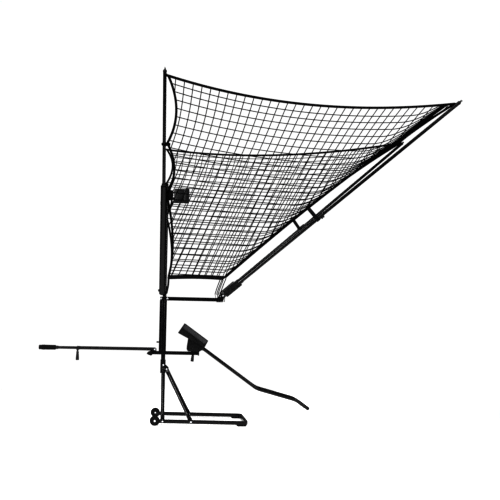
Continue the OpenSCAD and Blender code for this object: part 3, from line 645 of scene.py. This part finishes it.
def side_net_paths():
    """The left side panel's cords: uprights hung from the top rope, and cross cords from the back rope."""
    top, front, back = top_line(), front_line(), back_line()
    outline = np.vstack([top, front[1:], back[:-1]])[:, [0, 2]]
    top_xz, front_xz = top[:, [0, 2]], front[::-1, [0, 2]]
    span = top_front[0] - top_back[0]

    def share(p):
        return np.clip((p[0] - top_back[0]) / span, 0, 1)

    def depth(p):
        return np.interp(p[0], top_xz[:, 0], top_xz[:, 1]) - p[1]

    def down(p):
        """An upright leans forwards towards its top, and more so near the arms."""
        s, h = share(p), smooth(depth(p) / 0.7)
        lean = math.radians(mix(42 * s ** 0.8, 23 + 19 * s * s, h))
        return np.array([-math.sin(lean), -math.cos(lean)])

    def forward(p):
        """A cross cord runs along the top rope, levels out below it and turns up beside the arm."""
        i = int(share(p) * (len(top_xz) - 2))
        rope = unit(top_xz[i + 1] - top_xz[i])
        slope = mix(math.atan2(rope[1], rope[0]), math.radians(-1.5), smooth(depth(p) / 1.5))
        gap = p[1] - np.interp(p[0], front_xz[:, 0], front_xz[:, 1], left=-9)
        slope += math.radians(30) * (1 - smooth(gap / 0.22))
        return np.array([math.cos(slope), math.sin(slope)])

    uprights = [trace(p[[0, 2]], down, outline) for p in even_stops(top, CELL_WIDE)]
    crosses = [trace(p[[0, 2]], forward, outline) for p in even_stops(back[::-1], CELL_TALL)]
    return [p for p in uprights + crosses if len(p) > 2]


def front_point(v, y, edge):
    """Point of the front panel: v is the row along its edge, y how far out. It sags between the arms."""
    w = np.clip(y / edge[1], -1, 1)
    slack = (1 - w * w) * v * v
    return at(edge[0] - FRONT_SAG[0] * slack, y, edge[2] - FRONT_SAG[1] * slack)


def front_net_paths():
    """Cords of the panel between the arms: rows across it, and lengths that end on its edges."""
    edge = front_line()[::-1]
    rows = even_stops(edge, CELL_FRONT)
    run = np.linspace(0, 1, len(edge))
    paths = []
    for row in rows:
        v = np.interp(row[0], edge[:, 0], run)
        paths.append([front_point(v, y, row) for y in np.linspace(-row[1], row[1], 24)])
    widest = edge[-1][1]
    half = math.floor(widest / CELL_WIDE)
    for y in np.arange(-half, half + 1) * CELL_WIDE:
        length = [front_point(v, y, e) for v, e in zip(run, edge) if e[1] > abs(y)]
        if len(length) > 3:
            paths.append(length)
    return paths


def front_top_rope():
    edge = front_line()[0]
    return np.array([front_point(1.0, y, edge) for y in np.linspace(-edge[1], edge[1], 40)])


def hang(obj):
    """Bakes the net piece's placement into its mesh; the net and its ropes are not attached to the mast or
    the arms.
    """
    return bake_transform(obj)


def side_nets():
    paths = side_net_paths()
    for name, s in SIDES:
        net, rope = Build(), Build()
        for path in paths:
            net.tube([on_panel(x, z, s) for x, z in path], CORD, sides=5)
        for line in (top_line(), front_line(), back_line()):
            rope.tube([flip(p, s) for p in line], ROPE, sides=10)
        hang(net.piece(f"net_{name}_mesh", "net_cord", replaces=[f"net_side_{name}"]))
        hang(rope.piece(f"net_{name}_ropes", "net_cord", look=ROPE_LOOK))


def front_net():
    net = Build()
    for path in front_net_paths():
        net.tube(path, FRONT_CORD, sides=5)
    hang(net.piece("net_front_mesh", "net_cord", replaces=["net_front"]))
    rope = Build().tube(front_top_rope(), FRONT_ROPE, sides=10)
    hang(rope.piece("net_front_rope", "net_cord", look=ROPE_LOOK))


def hem():
    """Webbing band sewn round the mouth, with rounded corners and a slight arch in each side."""
    x0, x1, y1, z = mouth_back[0], mouth_front[0], mouth_back[1], mouth_back[2]
    centre, half = at((x0 + x1) / 2, 0, z), ((x1 - x0) / 2, y1)
    ring = rounded(centre, AHEAD, LEFT, half, HEM_ROUND, count=7)
    path = []
    for i in range(0, len(ring), 7):
        here, there = ring[i + 6], ring[(i + 7) % len(ring)]
        path.extend(ring[i:i + 7])
        path.extend(mix(here, there, t) for t in np.linspace(0, 1, 16)[1:-1])
    path = np.array(path)
    share = (path[:, 0] - x0) / (x1 - x0)
    path[:, 2] += HEM_ARCH * np.sin(np.pi * share) + HEM_RISE * share
    rings = []
    for p, q in zip(path, np.roll(path, -1, 0)):
        out = unit(np.cross(q - p, UP)) * HEM_THICK / 2
        w = UP * HEM_TALL / 2
        rings.append([p - w, p - w * 0.86 + out, p + w * 0.86 + out,
                      p + w, p + w * 0.86 - out, p - w * 0.86 - out])
    band = Build().loft(rings, closed=True)
    hang(band.piece("net_hem_band", "net_webbing", replaces=["net_hem"]))
    stitches = Build()
    for offset in (-SEWN, SEWN):
        for p, q in zip(path, np.roll(path, -1, 0)):
            d, out = unit(q - p), unit(np.cross(q - p, UP))
            for k in np.arange(0, np.linalg.norm(q - p), STITCH_GAP):
                a = p + d * k + UP * HEM_TALL * offset + out * 0.0052
                stitches.tube([a, a + d * STITCH], 0.0011, sides=4)
    hang(stitches.piece("hem_stitching", "net_webbing", look=ROPE_LOOK))


def straps():
    """Webbing from the mouth's back corners to the hub, and doubled cords from its front corners."""
    web, cords = Build(), Build()
    hub_low = ends("pole_hub")[0][2]
    bar_lo, bar_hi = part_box("front_crossbar")
    for _, s in SIDES:
        top = flip(mouth_back + [0.002, -0.004, -0.006], s)
        foot = at(mast_x + 0.024, s * 0.084, hub_low + 0.012)
        web.band(curve([top, mix(top, foot, 0.5) + AHEAD * 0.006, foot], 10), AHEAD, 0.022, 0.003)
        for reach in CORD_REACH:
            a = flip(mouth_front + [reach - 0.002, -0.012, -0.006], s)
            b = at(mast_x + CORDS_AT[0] + reach, s * (CORDS_AT[1] + reach * 0.5), bar_hi.z + 0.006)
            cords.tube(curve([a, mix(a, b, 0.5) + [-0.003, 0, 0], b], 8), 0.0052, sides=8)
            near, far, low, high = bar_lo.x - 0.004, bar_hi.x + 0.004, bar_lo.z - 0.004, bar_hi.z + 0.004
            loop = [b] + [(x, b[1], z) for x, z in ((near, low), (far, low), (far, high), (near, high))]
            cords.tube(loop, 0.0030, sides=6, closed=True)
    hang(web.piece("mouth_straps", "net_webbing", replaces=["net_straps"]))
    hang(cords.piece("mouth_cords", "net_cord", look=ROPE_LOOK))


def ring_round(build, centre, axis, radii, thick, turns):
    """Lashing of a few turns round two things side by side; radii are its half sizes."""
    for k in range(turns):
        lift = axis * (k - (turns - 1) / 2) * thick * 2.1
        build.tube(ellipse(centre + lift, axis, radii, 24), thick, sides=6, closed=True)


def pole_ties():
    """Lashings that hold the back ropes to the poles, and the links at all four tips."""
    ties, links = Build(), Build()
    line = back_line()
    for _, s in SIDES:
        for height in BACK_TIES:
            rope = line[round(height * (len(line) - 1))]
            pole = pole_at(rope[2])
            half = np.linalg.norm(rope - pole) / 2 + 0.022
            ring_round(ties, flip((rope + pole) / 2, s), flip(pole_dir, s), (half, 0.026), 0.0035, 3)
        for build, tip, way, corner, drop in ((ties, pole_tip, pole_dir, top_back, 0.004),
                                              (links, arm_tip, arm_dir, top_front, 0.003)):
            far = tip + way * 0.038
            path = curve([far, mix(far, corner, 0.5) - UP * drop, corner], 6)
            build.tube([flip(p, s) for p in path], TIE, sides=7)
    ties.piece("pole_lashings", "net_cord", "frame", look=ROPE_LOOK)
    links.piece("arm_tip_links", "net_cord", "arms", look=ROPE_LOOK)


def arm_links():
    """Short strap between each arm and its net edge, lashed to both."""
    web = Build()
    line = front_line()
    edge = line[int(ARM_TIE * (len(line) - 1))]
    on_arm = arm_foot + arm_dir * ((edge - arm_foot) @ arm_dir)
    rope_dir = unit(line[30] - line[28])
    for _, s in SIDES:
        a, b = flip(edge, s), flip(on_arm, s)
        web.band([a, mix(a, b, 0.5), b], flip(arm_dir, s), 0.042, 0.0045)
        ring_round(web, b, flip(arm_dir, s), (0.0270, 0.0270), 0.0048, 4)
        ring_round(web, a, flip(rope_dir, s), (0.0180, 0.0180), 0.0042, 4)
    web.piece("arm_straps", "net_webbing", "arms")


# ---- Frame hardware ----

LUG = 0.019             # radius of the rounded ends of the legs and braces
STRUT = 0.021           # radius of their tube
# The ramp rails' ends and bends: distance ahead of the mast, and height
RAIL_BENDS = ((0.478, 0.862), (1.115, 0.407), (1.586, 0.280), (1.733, 0.174))


def lug_centre(node, top):
    """Middle of the drilled round end of a leg or brace."""
    co = points(node)
    edge = co[:, 2].max() if top else co[:, 2].min()
    centre = middle(co[np.abs(co[:, 2] - edge) < LUG + 0.0005])
    centre[2] = edge + (-LUG if top else LUG)
    return centre


def flat_ended_tube(build, foot, head, radius, thick):
    """Round tube pressed flat at both ends, where it lies against what it is bolted to."""
    d = head - foot
    length = np.linalg.norm(d)
    along = unit(d)
    wide = unit(np.cross(LEFT, along))
    side = np.cross(along, wide)
    c, q = np.cos(circle(32)), np.sin(circle(32))
    stations = [-0.0185, -0.0170, -0.013, -0.007, 0.0, 0.030, 0.042, 0.055, 0.070, 0.085, 0.100]
    rings = []
    for s in [*stations, *(length - k for k in stations[::-1])]:
        end = min(s, length - s)
        round_ = smooth((end - 0.030) / 0.060)
        half_w = mix(radius * 1.12, radius, round_)
        if end < 0:
            half_w *= math.sqrt(max(1 - (end / LUG) ** 2, 0.02))
        half_t = mix(thick / 2, radius, round_)
        n = unit(mix(LEFT, side * np.sign(side[1]), round_))
        squareness = mix(0.45, 1.0, round_)
        x = np.sign(c) * np.abs(c) ** squareness * half_w
        y = np.sign(q) * np.abs(q) ** squareness * half_t
        rings.append(foot + along * s + np.outer(x, wide) + np.outer(y, n))
    build.loft(rings)


def struts():
    for name, _ in SIDES:
        for kind in ("leg", "brace"):
            node = f"{kind}_{name}"
            build = Build()
            flat_ended_tube(build, lug_centre(node, False), lug_centre(node, True), STRUT, 0.0058)
            build.piece(f"{node}_tube", "frame_paint", "frame", replaces=[node])


def base_frame():
    """The base's square tube: two rails and a front bar, bent round at the front corners and welded there."""
    rail, bar = points("base_rail_left"), points("base_crossbar")
    back = rail[rail[:, 0] < rail[:, 0].min() + 0.001]
    front = bar[bar[:, 0] > bar[:, 0].max() - 0.001]
    half = np.ptp(back[:, 1]) / 2
    start, y = back[:, 0].mean(), middle(back)[1]
    heights = middle(back)[2], middle(front)[2]
    end, bend = bar[:, 0].max() - half, 0.035

    def place(x, y_):
        return np.array([x, y_, np.interp(x, (start, end + half), heights)])

    def corner(first, last):
        turn = np.radians(np.linspace(first, last, 8))
        return [place(end - bend + bend * math.cos(t), y - bend + bend * math.sin(t)) for t in turn]

    def square(p, across, size):
        return rounded(p, across, UP, (size, size), 0.0045)

    def sweep(path):
        across = np.cross(UP, np.gradient(np.array(path), axis=0))
        return Build().loft([square(p, unit(a), half) for p, a in zip(path, across)])

    beads = Build()
    for name, s in SIDES:
        path = [flip(p, s) for p in [place(start, y), place(start + 0.3, y), *corner(90, 45)]]
        tube = sweep(path)
        tube.piece(f"base_rail_{name}_tube", "frame_paint", "frame", replaces=[f"base_rail_{name}"])
        beads.tube(square(path[-1], unit([1, s, 0]), half + 0.0006), 0.0016, sides=6, closed=True)
    left = corner(45, 0)
    tube = sweep(left + [flip(p, -1) for p in left[::-1]])
    tube.piece("base_crossbar_tube", "frame_paint", "frame", replaces=["base_crossbar"])
    beads.piece("base_corner_welds", "frame_paint", "frame")


def straight_tubes():
    """The plain round tubes, hollow, with broken edges."""
    walls = (("pole_outer", 0.003, "frame"), ("pole_inner", 0.0025, "frame"),
             ("arm_outer", 0.0025, "arms"), ("arm_inner", 0.002, "arms"))
    pairs = [(f"{kind}_{name}", wall, body) for kind, wall, body in walls for name, _ in SIDES]
    for node, wall, body in [("upright", 0.003, "frame"), *pairs]:
        a, b = axis_ends(node)
        r = np.linalg.norm(np.cross(points(node) - a, unit(b - a)), axis=1).max()
        tube = Build().hollow(a, b, r, r - wall)
        tube.piece(f"{node}_tube", "frame_paint", body, replaces=[node])


def bolts():
    """Hex bolts across the frame: heads, nuts, washers and the thread's end."""
    for node in ("frame_bolts", "pivot_bolts"):
        build = Build()
        for x, z, spans in bolt_places(points(node)):
            for y0, y1 in spans:
                lo, hi = y0 + 0.007, y1 - 0.007
                build.lathe([(0, 0.0046), (0.0005, 0.005), (hi - lo, 0.005)], (x, lo, z), LEFT, 24)
                build.hex_head((x, lo, z), -LEFT, 0.0165, 0.0055)
                build.hex_head((x, hi, z), LEFT, 0.0165, 0.0055)
        build.piece(f"{node}_set", "bright_zinc", "frame", replaces=[node])


def bolt_places(co):
    """Axis and ends of each cross bolt of a node, found from its vertices."""
    places = []
    while len(co):
        near = np.hypot(*(co - co[0])[:, [0, 2]].T) < 0.024
        x, _, z = middle(co[near])
        ys = np.sort(co[near, 1])
        runs = np.split(ys, np.where(np.diff(ys) > 0.30)[0] + 1)
        places.append((x, z, [(run[0], run[-1]) for run in runs]))
        co = co[~near]
    return places


def wheels():
    """Ribbed tyres on hubs with a closed web and five spokes."""
    for name, s in SIDES:
        lo, hi = ends(f"tyre_{name}")
        centre, r, w = (lo + hi) / 2, (hi[2] - lo[2]) / 2, (hi[1] - lo[1]) / 2
        out = LEFT * s
        shoulder = [(w - 0.0045, r - 0.0016), (w - 0.0015, r - 0.0055), (w, r - 0.009),
                    (w, 0.0345), (w - 0.002, 0.0330)]
        profile = [(-x, y) for x, y in shoulder[::-1]]
        for k in np.linspace(-w + 0.007, w - 0.007, 6):
            profile += [(k - 0.0014, r), (k + 0.0008, r), (k + 0.0011, r - 0.0016), (k + 0.0016, r - 0.0016)]
        tyre = Build().lathe(profile + shoulder, centre, out, 72, closed=True)
        tyre.piece(f"tyre_{name}_tread", "tyre_rubber", f"wheel_{name}", replaces=[f"tyre_{name}"])
        hub = Build()
        hub.lathe(mm((-13, 28.5), (-13, 32.5), (-12, 33.2), (12, 33.2), (13, 32.5), (13, 28.5),
                     (9, 27.5), (-9, 27.5)), centre, out, 72, closed=True)
        hub.lathe(mm((-15, 6.1), (-15, 12), (-12, 13.5), (12, 13.5), (18.5, 12.5), (19.5, 11.5),
                     (19.5, 6.1)), centre, out, 48, closed=True)
        hub.lathe(mm((-4.5, 12.5), (-4.5, 28.5), (4.5, 28.5), (4.5, 12.5)),
                  centre, out, 72, closed=True)
        for k in range(5):
            a = math.radians(72 * k + 90)
            spoke, side = (AHEAD * math.cos(t) + UP * math.sin(t) for t in (a, a + math.pi / 2))
            rings = []
            for t, half in ((0.0115, 0.0062), (0.016, 0.0048), (0.022, 0.0046), (0.0285, 0.0075)):
                d = 0.0075 - 0.10 * (t - 0.0115)
                face = out * (d + 0.001)
                rings.append(flat_ring(centre + spoke * t, side * half, face, 0.8, d / (d + 0.001)))
            hub.loft(rings)
        hub.piece(f"hub_{name}_spokes", "plastic_black", f"wheel_{name}", replaces=[f"hub_{name}"])


def knobs():
    """Hanging pull knobs: pin, ribbed neck and a flared grip with flutes."""
    neck, length = 0.028, 0.074
    ribs = [(0.0030 - neck + k * 0.0022, 0.0143 - 0.0008 * (k % 2)) for k in range(int(neck / 0.0022) + 1)]
    for node, tilt in (("handle_lock", 0.0), ("swivel_lock", math.radians(6))):
        co = points(node)
        low, high = co[:, 2].min(), co[:, 2].max()
        down = at(-math.sin(tilt), 0, -math.cos(tilt))
        foot = at(middle(co[co[:, 2] < low + 0.010])[0], 0, low)
        top = foot - down * length
        pin = (high - low) / math.cos(tilt) - length - 0.002
        build = Build().lathe([(-pin, 0.0040), (-neck, 0.0040), (-neck, 0.0125), (-neck + 0.0015, 0.0140),
                               *ribs, (0.008, 0.0135)], top, down, 40)
        build.lathe([(0.004, 0.0090), (0.005, 0.0140), (0.010, 0.0158), (0.030, 0.0172), (0.046, 0.0180),
                     (0.060, 0.0187), (0.069, 0.0188), (0.0725, 0.0180), (length, 0.0160), (0.0735, 0.009)],
                    top, down, 72, flutes=8, depth=0.10)
        build.piece(f"{node}_knob", "plastic_black", f"{node}_body", replaces=[node])


def plungers():
    """Spring plungers: a pin, a ferrule, and a knurled button."""
    for node in ("post_pin", "pole_pin_left", "pole_pin_right"):
        lo, hi = ends(node)
        back = at(lo[0], (lo[1] + hi[1]) / 2, (lo[2] + hi[2]) / 2)
        build = Build()
        length = hi[0] - lo[0]
        build.lathe([(0.0190, 0.0040), (length - 0.001, 0.0040), (length, 0.0032)], back, AHEAD, 24)
        build.lathe(mm((0, 7), (0.8, 8.5), (2.5, 10), (9.5, 10.8), (11.5, 9.8), (13, 7.8), (15, 8.2),
                       (20, 8.8)),
                    back, AHEAD, 72, flutes=24, depth=0.07)
        build.piece(f"{node}_button", "plastic_black", f"{node}_body", replaces=[node])


def grip():
    """Moulded grip: a flared guard, finger swells and fine ribs along its length."""
    lo, hi = ends("handle_grip")
    length = hi[0] - lo[0]
    centre = at(lo[0], 0, (lo[2] + hi[2]) / 2)
    shape = [(0, 0.018), (0.001, 0.0225), (0.004, 0.0262), (0.010, 0.0270), (0.016, 0.0256), (0.024, 0.0262),
             (0.046, 0.0296), (0.062, 0.0298), (0.080, 0.0282), (0.110, 0.0286), (0.140, 0.0276),
             (0.170, 0.0276), (0.186, 0.0281), (0.193, 0.0262), (0.1975, 0.0205), (length, 0.0180)]
    xs, rs = np.array(shape).T
    profile = [(x, float(np.interp(x, xs, rs)) - (0.0010 if 0.028 < x < 0.180 and k % 4 == 0 else 0.0))
               for k, x in enumerate(np.linspace(0, length, 132))]
    profile.append((length, 0.0161))
    rubber_grip = Build().lathe(profile, centre, AHEAD, 64)
    rubber_grip.piece("handle_grip_rubber", "grip_rubber", "handle_slide", replaces=["handle_grip"])


def rails():
    """Ramp rails: smooth bends and rounded, plugged ends."""
    for name, _ in SIDES:
        node = f"ramp_rail_{name}"
        lo, hi = ends(node)
        y, r = (lo[1] + hi[1]) / 2, (hi[1] - lo[1]) / 2
        stops = [at(mast_x + x, y, z) for x, z in RAIL_BENDS]
        path = stops[:1]
        for before, corner, after in zip(stops, stops[1:], stops[2:]):
            a, b = (corner + unit(p - corner) * 0.05 for p in (before, after))
            path += [(1 - t) ** 2 * a + 2 * t * (1 - t) * corner + t * t * b for t in np.linspace(0, 1, 14)]
        d = unit(stops[-1] - path[-1])
        path += [stops[-1] - d * k for k in (0.006, 0.0025, 0.0008, 0.0)]
        radius = [r] * (len(path) - 3) + [r * 0.955, r * 0.87, r * 0.72]
        rail = Build().tube(path, np.array(radius), sides=40)
        rail.piece(f"{node}_tube", "frame_paint", "ramp", replaces=[node])


def tray_trim():
    """Turned-down flange and rolled rim along both sides of the tray; the flanges take a lighter copy of the
    tray's plastic as painted light.
    """
    co = points("ramp_tray")
    high, far = co[co[:, 2].argmax()], co[co[:, 0].argmax()]
    half = co[:, 1].max() - 0.007
    along = unit([far[0] - high[0], 0, far[2] - high[2]])
    down = at(along[2], 0.0, -along[0])
    length = np.hypot(far[0] - high[0], far[2] - high[2])
    flange, rim = Build(), Build()
    for _, s in SIDES:
        edge = at(high[0], s * half, high[2]) + down * 0.004
        out = LEFT * s
        lip = [edge + down * 0.003 + out * 0.006, edge + down * 0.030 + out * 0.018,
               edge + down * 0.050 + out * 0.022, edge + down * 0.052 + out * 0.019,
               edge + down * 0.030 + out * 0.013, edge + down * 0.005 + out * 0.001]
        flange.loft([[p + along * t for p in lip] for t in (0.004, length - 0.010)])
        stops = [edge + along * t + down * d
                 for t, d in ((0.0, 0.004), (0.004, 0.0), (length - 0.010, 0.0), (length - 0.006, 0.004))]
        rim.tube([p + out * 0.004 for p in stops], 0.0055, sides=16)
        rim.tube([p + out * 0.020 + down * 0.052 for p in stops[1:3]], 0.0035, sides=12)
    # the flanges are painted lighter than the tray, as painted light along its sides
    flange.piece("tray_flanges", "tray_plastic", "ramp", look=TRAY_PAINTED_LIGHT)
    rim.piece("tray_rims", "tray_plastic", "ramp")


def rear_boot():
    """Rubber boot over the beam's slanted rear end."""
    lo, hi = ends("beam")
    outline = ((-0.015, 0.006), (-0.010, 0.017), (0.004, 0.030), (0.030, 0.0405), (0.046, 0.0405),
               (0.050, 0.030), (0.050, -0.004), (0.044, -0.012), (0.030, -0.014), (0.012, -0.008),
               (-0.008, 0.001))
    half = (hi[1] - lo[1]) / 2
    steps = ((-half - 0.004, -0.002), (-half - 0.003, 0.0), (half + 0.003, 0.0), (half + 0.004, -0.002))
    rings = []
    for y, grow in steps:
        rings.append([(lo[0] + x + grow * np.sign(x - 0.02), y, lo[2] + z + grow * np.sign(z - 0.014))
                      for x, z in outline])
    Build().loft(rings).piece("beam_rear_boot", "plastic_black", "frame", look=GRIP)


def sensor():
    """Rounded box with a parting seam, a hooded window, two lenses, vents and screws."""
    lo, hi = ends("sensor_box")
    hi[2] -= 0.005          # room for the hood on top
    lo[0] -= 0.016          # the shell reaches further back than its node
    centre, half = (lo + hi) / 2, (hi - lo) / 2
    body = Build()

    def slab(c, h, r):
        """Box with rounded corners seen along X, and softened front and back edges."""
        steps = ((h[0], 0.006), (h[0] - 0.0018, 0.002), (h[0] - 0.006, 0.0))
        steps = [(-x, inset) for x, inset in steps] + list(steps[::-1])
        body.loft([rounded(c + AHEAD * x, LEFT, UP, h[1:], r, inset, 7) for x, inset in steps])

    split, seam = 0.062, 0.001
    slab(centre - AHEAD * (split / 2 + seam), half - AHEAD * (split / 2 + seam), 0.016)
    slab(centre + AHEAD * (half[0] - split / 2), at(split / 2, half[1], half[2]), 0.016)
    recess = at(0.004, half[1] - 0.0022, half[2] - 0.0022)
    slab(centre + AHEAD * (half[0] - split - seam), recess, 0.014)
    # hood over the window, and cooling ribs down both sides
    top = centre[2] + half[2]
    hood = ((0.034, -0.001), (0.034, 0.003), (0.004, 0.005), (0.0, 0.004), (0.0, -0.001))
    body.loft([[(hi[0] - x, y, top + z) for x, z in hood] for y in (-0.058, -0.056, 0.056, 0.058)])
    for s in (-1, 1):
        for k in range(5):
            x = centre[0] - 0.052 + 0.012 * k
            y = centre[1] + s * (half[1] - 0.0006)
            body.tube([(x, y, centre[2] - 0.045), (x, y, centre[2] + 0.045)], 0.0022, sides=8)
    body.piece("sensor_box_shell", "plastic_black", "frame", replaces=["sensor_box"])
    lenses = Build()
    front = hi[0] - 0.0005
    for y in (-0.030, 0.030):
        lenses.lathe(mm((-4, 19), (0.2, 19), (0.6, 18), (0.6, 2)),
                     (front, y, centre[2] + 0.018), AHEAD, 40)
    lenses.piece("sensor_lenses", "plastic_black", "frame", look=LENS)
    screws = Build()
    profile = mm((-3, 3.8), (0.6, 3.8), (1.2, 3), (1.2, 1.2), (0.4, 1))
    for y in (-1, 1):
        for z in (-1, 1):
            corner = (front, y * (half[1] - 0.013), centre[2] + z * (half[2] - 0.013))
            screws.lathe(profile, corner, AHEAD, 20)
    screws.piece("sensor_screws", "bright_zinc", "frame")


def clamp_screws():
    """Socket screws through the split tabs of the pole and arm collars."""
    for node, body, foot, way in (("pole_collars", "frame", pole_foot, pole_dir),
                                  ("arm_collars", "arms", arm_foot, arm_dir)):
        build = Build()
        for _, s in SIDES:
            co, base, u = points(node, s), flip(foot, s), flip(way, s)
            away = co - base - np.outer((co - base) @ u, u)
            far = np.linalg.norm(away, axis=1)
            centre = co[far > far.max() - 0.004].mean(0)
            out = unit(away[np.argmax(far)])
            across = unit(np.cross(u, out))
            centre = centre - out * 0.0050
            for side in (-1, 1):
                build.hex_head(centre + across * side * 0.0078, across * side, 0.0085, 0.0042, washer=False)
        build.piece(f"{node}_screws", "bright_zinc", body)


def welds():
    """Beads where the frame's tubes and plates meet."""
    build = Build()
    stub_lo, stub_hi = ends("stub_tube")
    bar_lo, bar_hi = ends("basket_bar")
    cross_x = ends("front_crossbar")[0][0]
    apex_top = ends("apex_bracket")[1][2]
    r = (stub_hi[1] - stub_lo[1]) / 2
    build.weld(at(mast_x, 0, apex_top + 0.001), UP, (r + 0.001, r + 0.001))
    build.weld(at(mast_x, 0, stub_hi[2] - 0.002), UP, (0.021, 0.0205))
    half = 0.019            # the seams stop short of the bar's corners
    for z in (bar_lo[2], bar_hi[2]):
        build.seam((cross_x, -half, z), (cross_x, half, z))
        build.seam((bar_lo[0] + 0.001, -half, z), (bar_lo[0] + 0.001, half, z))
    for y in (-half, half):
        build.seam((cross_x, y, bar_lo[2]), (cross_x, y, bar_hi[2]))
    build.piece("frame_welds", "frame_paint", "frame")


# ---- Camera, floor and light ----

def camera():
    """Looks at the machine's right side from 8 m off and 1.26 m up, turned by three degrees."""
    data = bpy.data.cameras.new("camera")
    data.sensor_width = 36
    data.lens = 48.3
    data.shift_x = 0.10
    data.shift_y = 0.07
    data.clip_end = 200
    cam = linked("camera", data)
    right = Vector((0.99823, -0.05589, 0.02048))
    up = Vector((-0.02295, -0.04400, 0.99877))
    turn = Matrix((right, up, right.cross(up))).transposed()
    cam.matrix_world = Matrix.Translation((mast_x - 0.020, -8.0, 1.258)) @ turn.to_4x4()
    bpy.context.scene.camera = cam


def area_light(name, place, aim, size, power):
    data = bpy.data.lights.new(name, "AREA")
    data.shape = "RECTANGLE"
    data.size, data.size_y = size
    data.energy = power
    light = linked(name, data)
    light.location = place
    light.rotation_euler = (Vector(aim) - Vector(place)).to_track_quat("-Z", "Y").to_euler()


def studio():
    """White floor and soft surrounding light, as for a cut-out on white."""
    bpy.context.scene.view_settings.view_transform = "Standard"
    bpy.context.scene.view_settings.gamma = 0.62
    world = bpy.data.worlds.new("white")
    bpy.context.scene.world = world
    world.use_nodes = True
    tree = world.node_tree
    backdrop = tree.nodes["Background"]
    backdrop.inputs["Color"].default_value = (1, 1, 1, 1)
    seen = tree.nodes.new("ShaderNodeLightPath")
    level = tree.nodes.new("ShaderNodeMapRange")
    level.inputs["To Min"].default_value = 0.10
    level.inputs["To Max"].default_value = 1.02
    tree.links.new(seen.outputs["Is Camera Ray"], level.inputs["Value"])
    tree.links.new(level.outputs["Result"], backdrop.inputs["Strength"])
    mesh = bpy.data.meshes.new("floor")
    r = 3.4                 # half the floor's width
    mesh.from_pydata([(-r, -r, 0), (r, -r, 0), (r, r, 0), (-r, r, 0)], [], [(0, 1, 2, 3)])
    floor = linked("floor", mesh)
    look = Look("white_floor", (0.9, 0.9, 0.9), 0.9, spec=0.1)
    look.set("Base Color", look.ramp(look.noise(0.4, 2), (0.90, 0.90, 0.90), (0.92, 0.92, 0.92)))
    look.set("Emission Color", (1, 1, 1))
    look.set("Emission Strength", 0.62)
    mesh.materials.append(look.m)
    area_light("key", (-5.2, -6.4, 4.6), (-0.6, 0, 1.6), (1.8, 4.6), 760)
    area_light("fill", (5.0, -6.0, 3.4), (0.6, 0, 1.8), (1.2, 3.6), 260)
    area_light("top", (-0.8, -2.4, 7.4), (0.2, 0, 1.6), (6.0, 1.6), 230)
    area_light("rim", (1.0, 6.0, 5.6), (0, 0, 1.6), (4.0, 2.5), 160)


camera()
paint_nodes()
struts()
base_frame()
straight_tubes()
bolts()
wheels()
knobs()
plungers()
grip()
rails()
tray_trim()
rear_boot()
sensor()
clamp_screws()
welds()
side_nets()
front_net()
hem()
straps()
pole_ties()
arm_links()
studio()
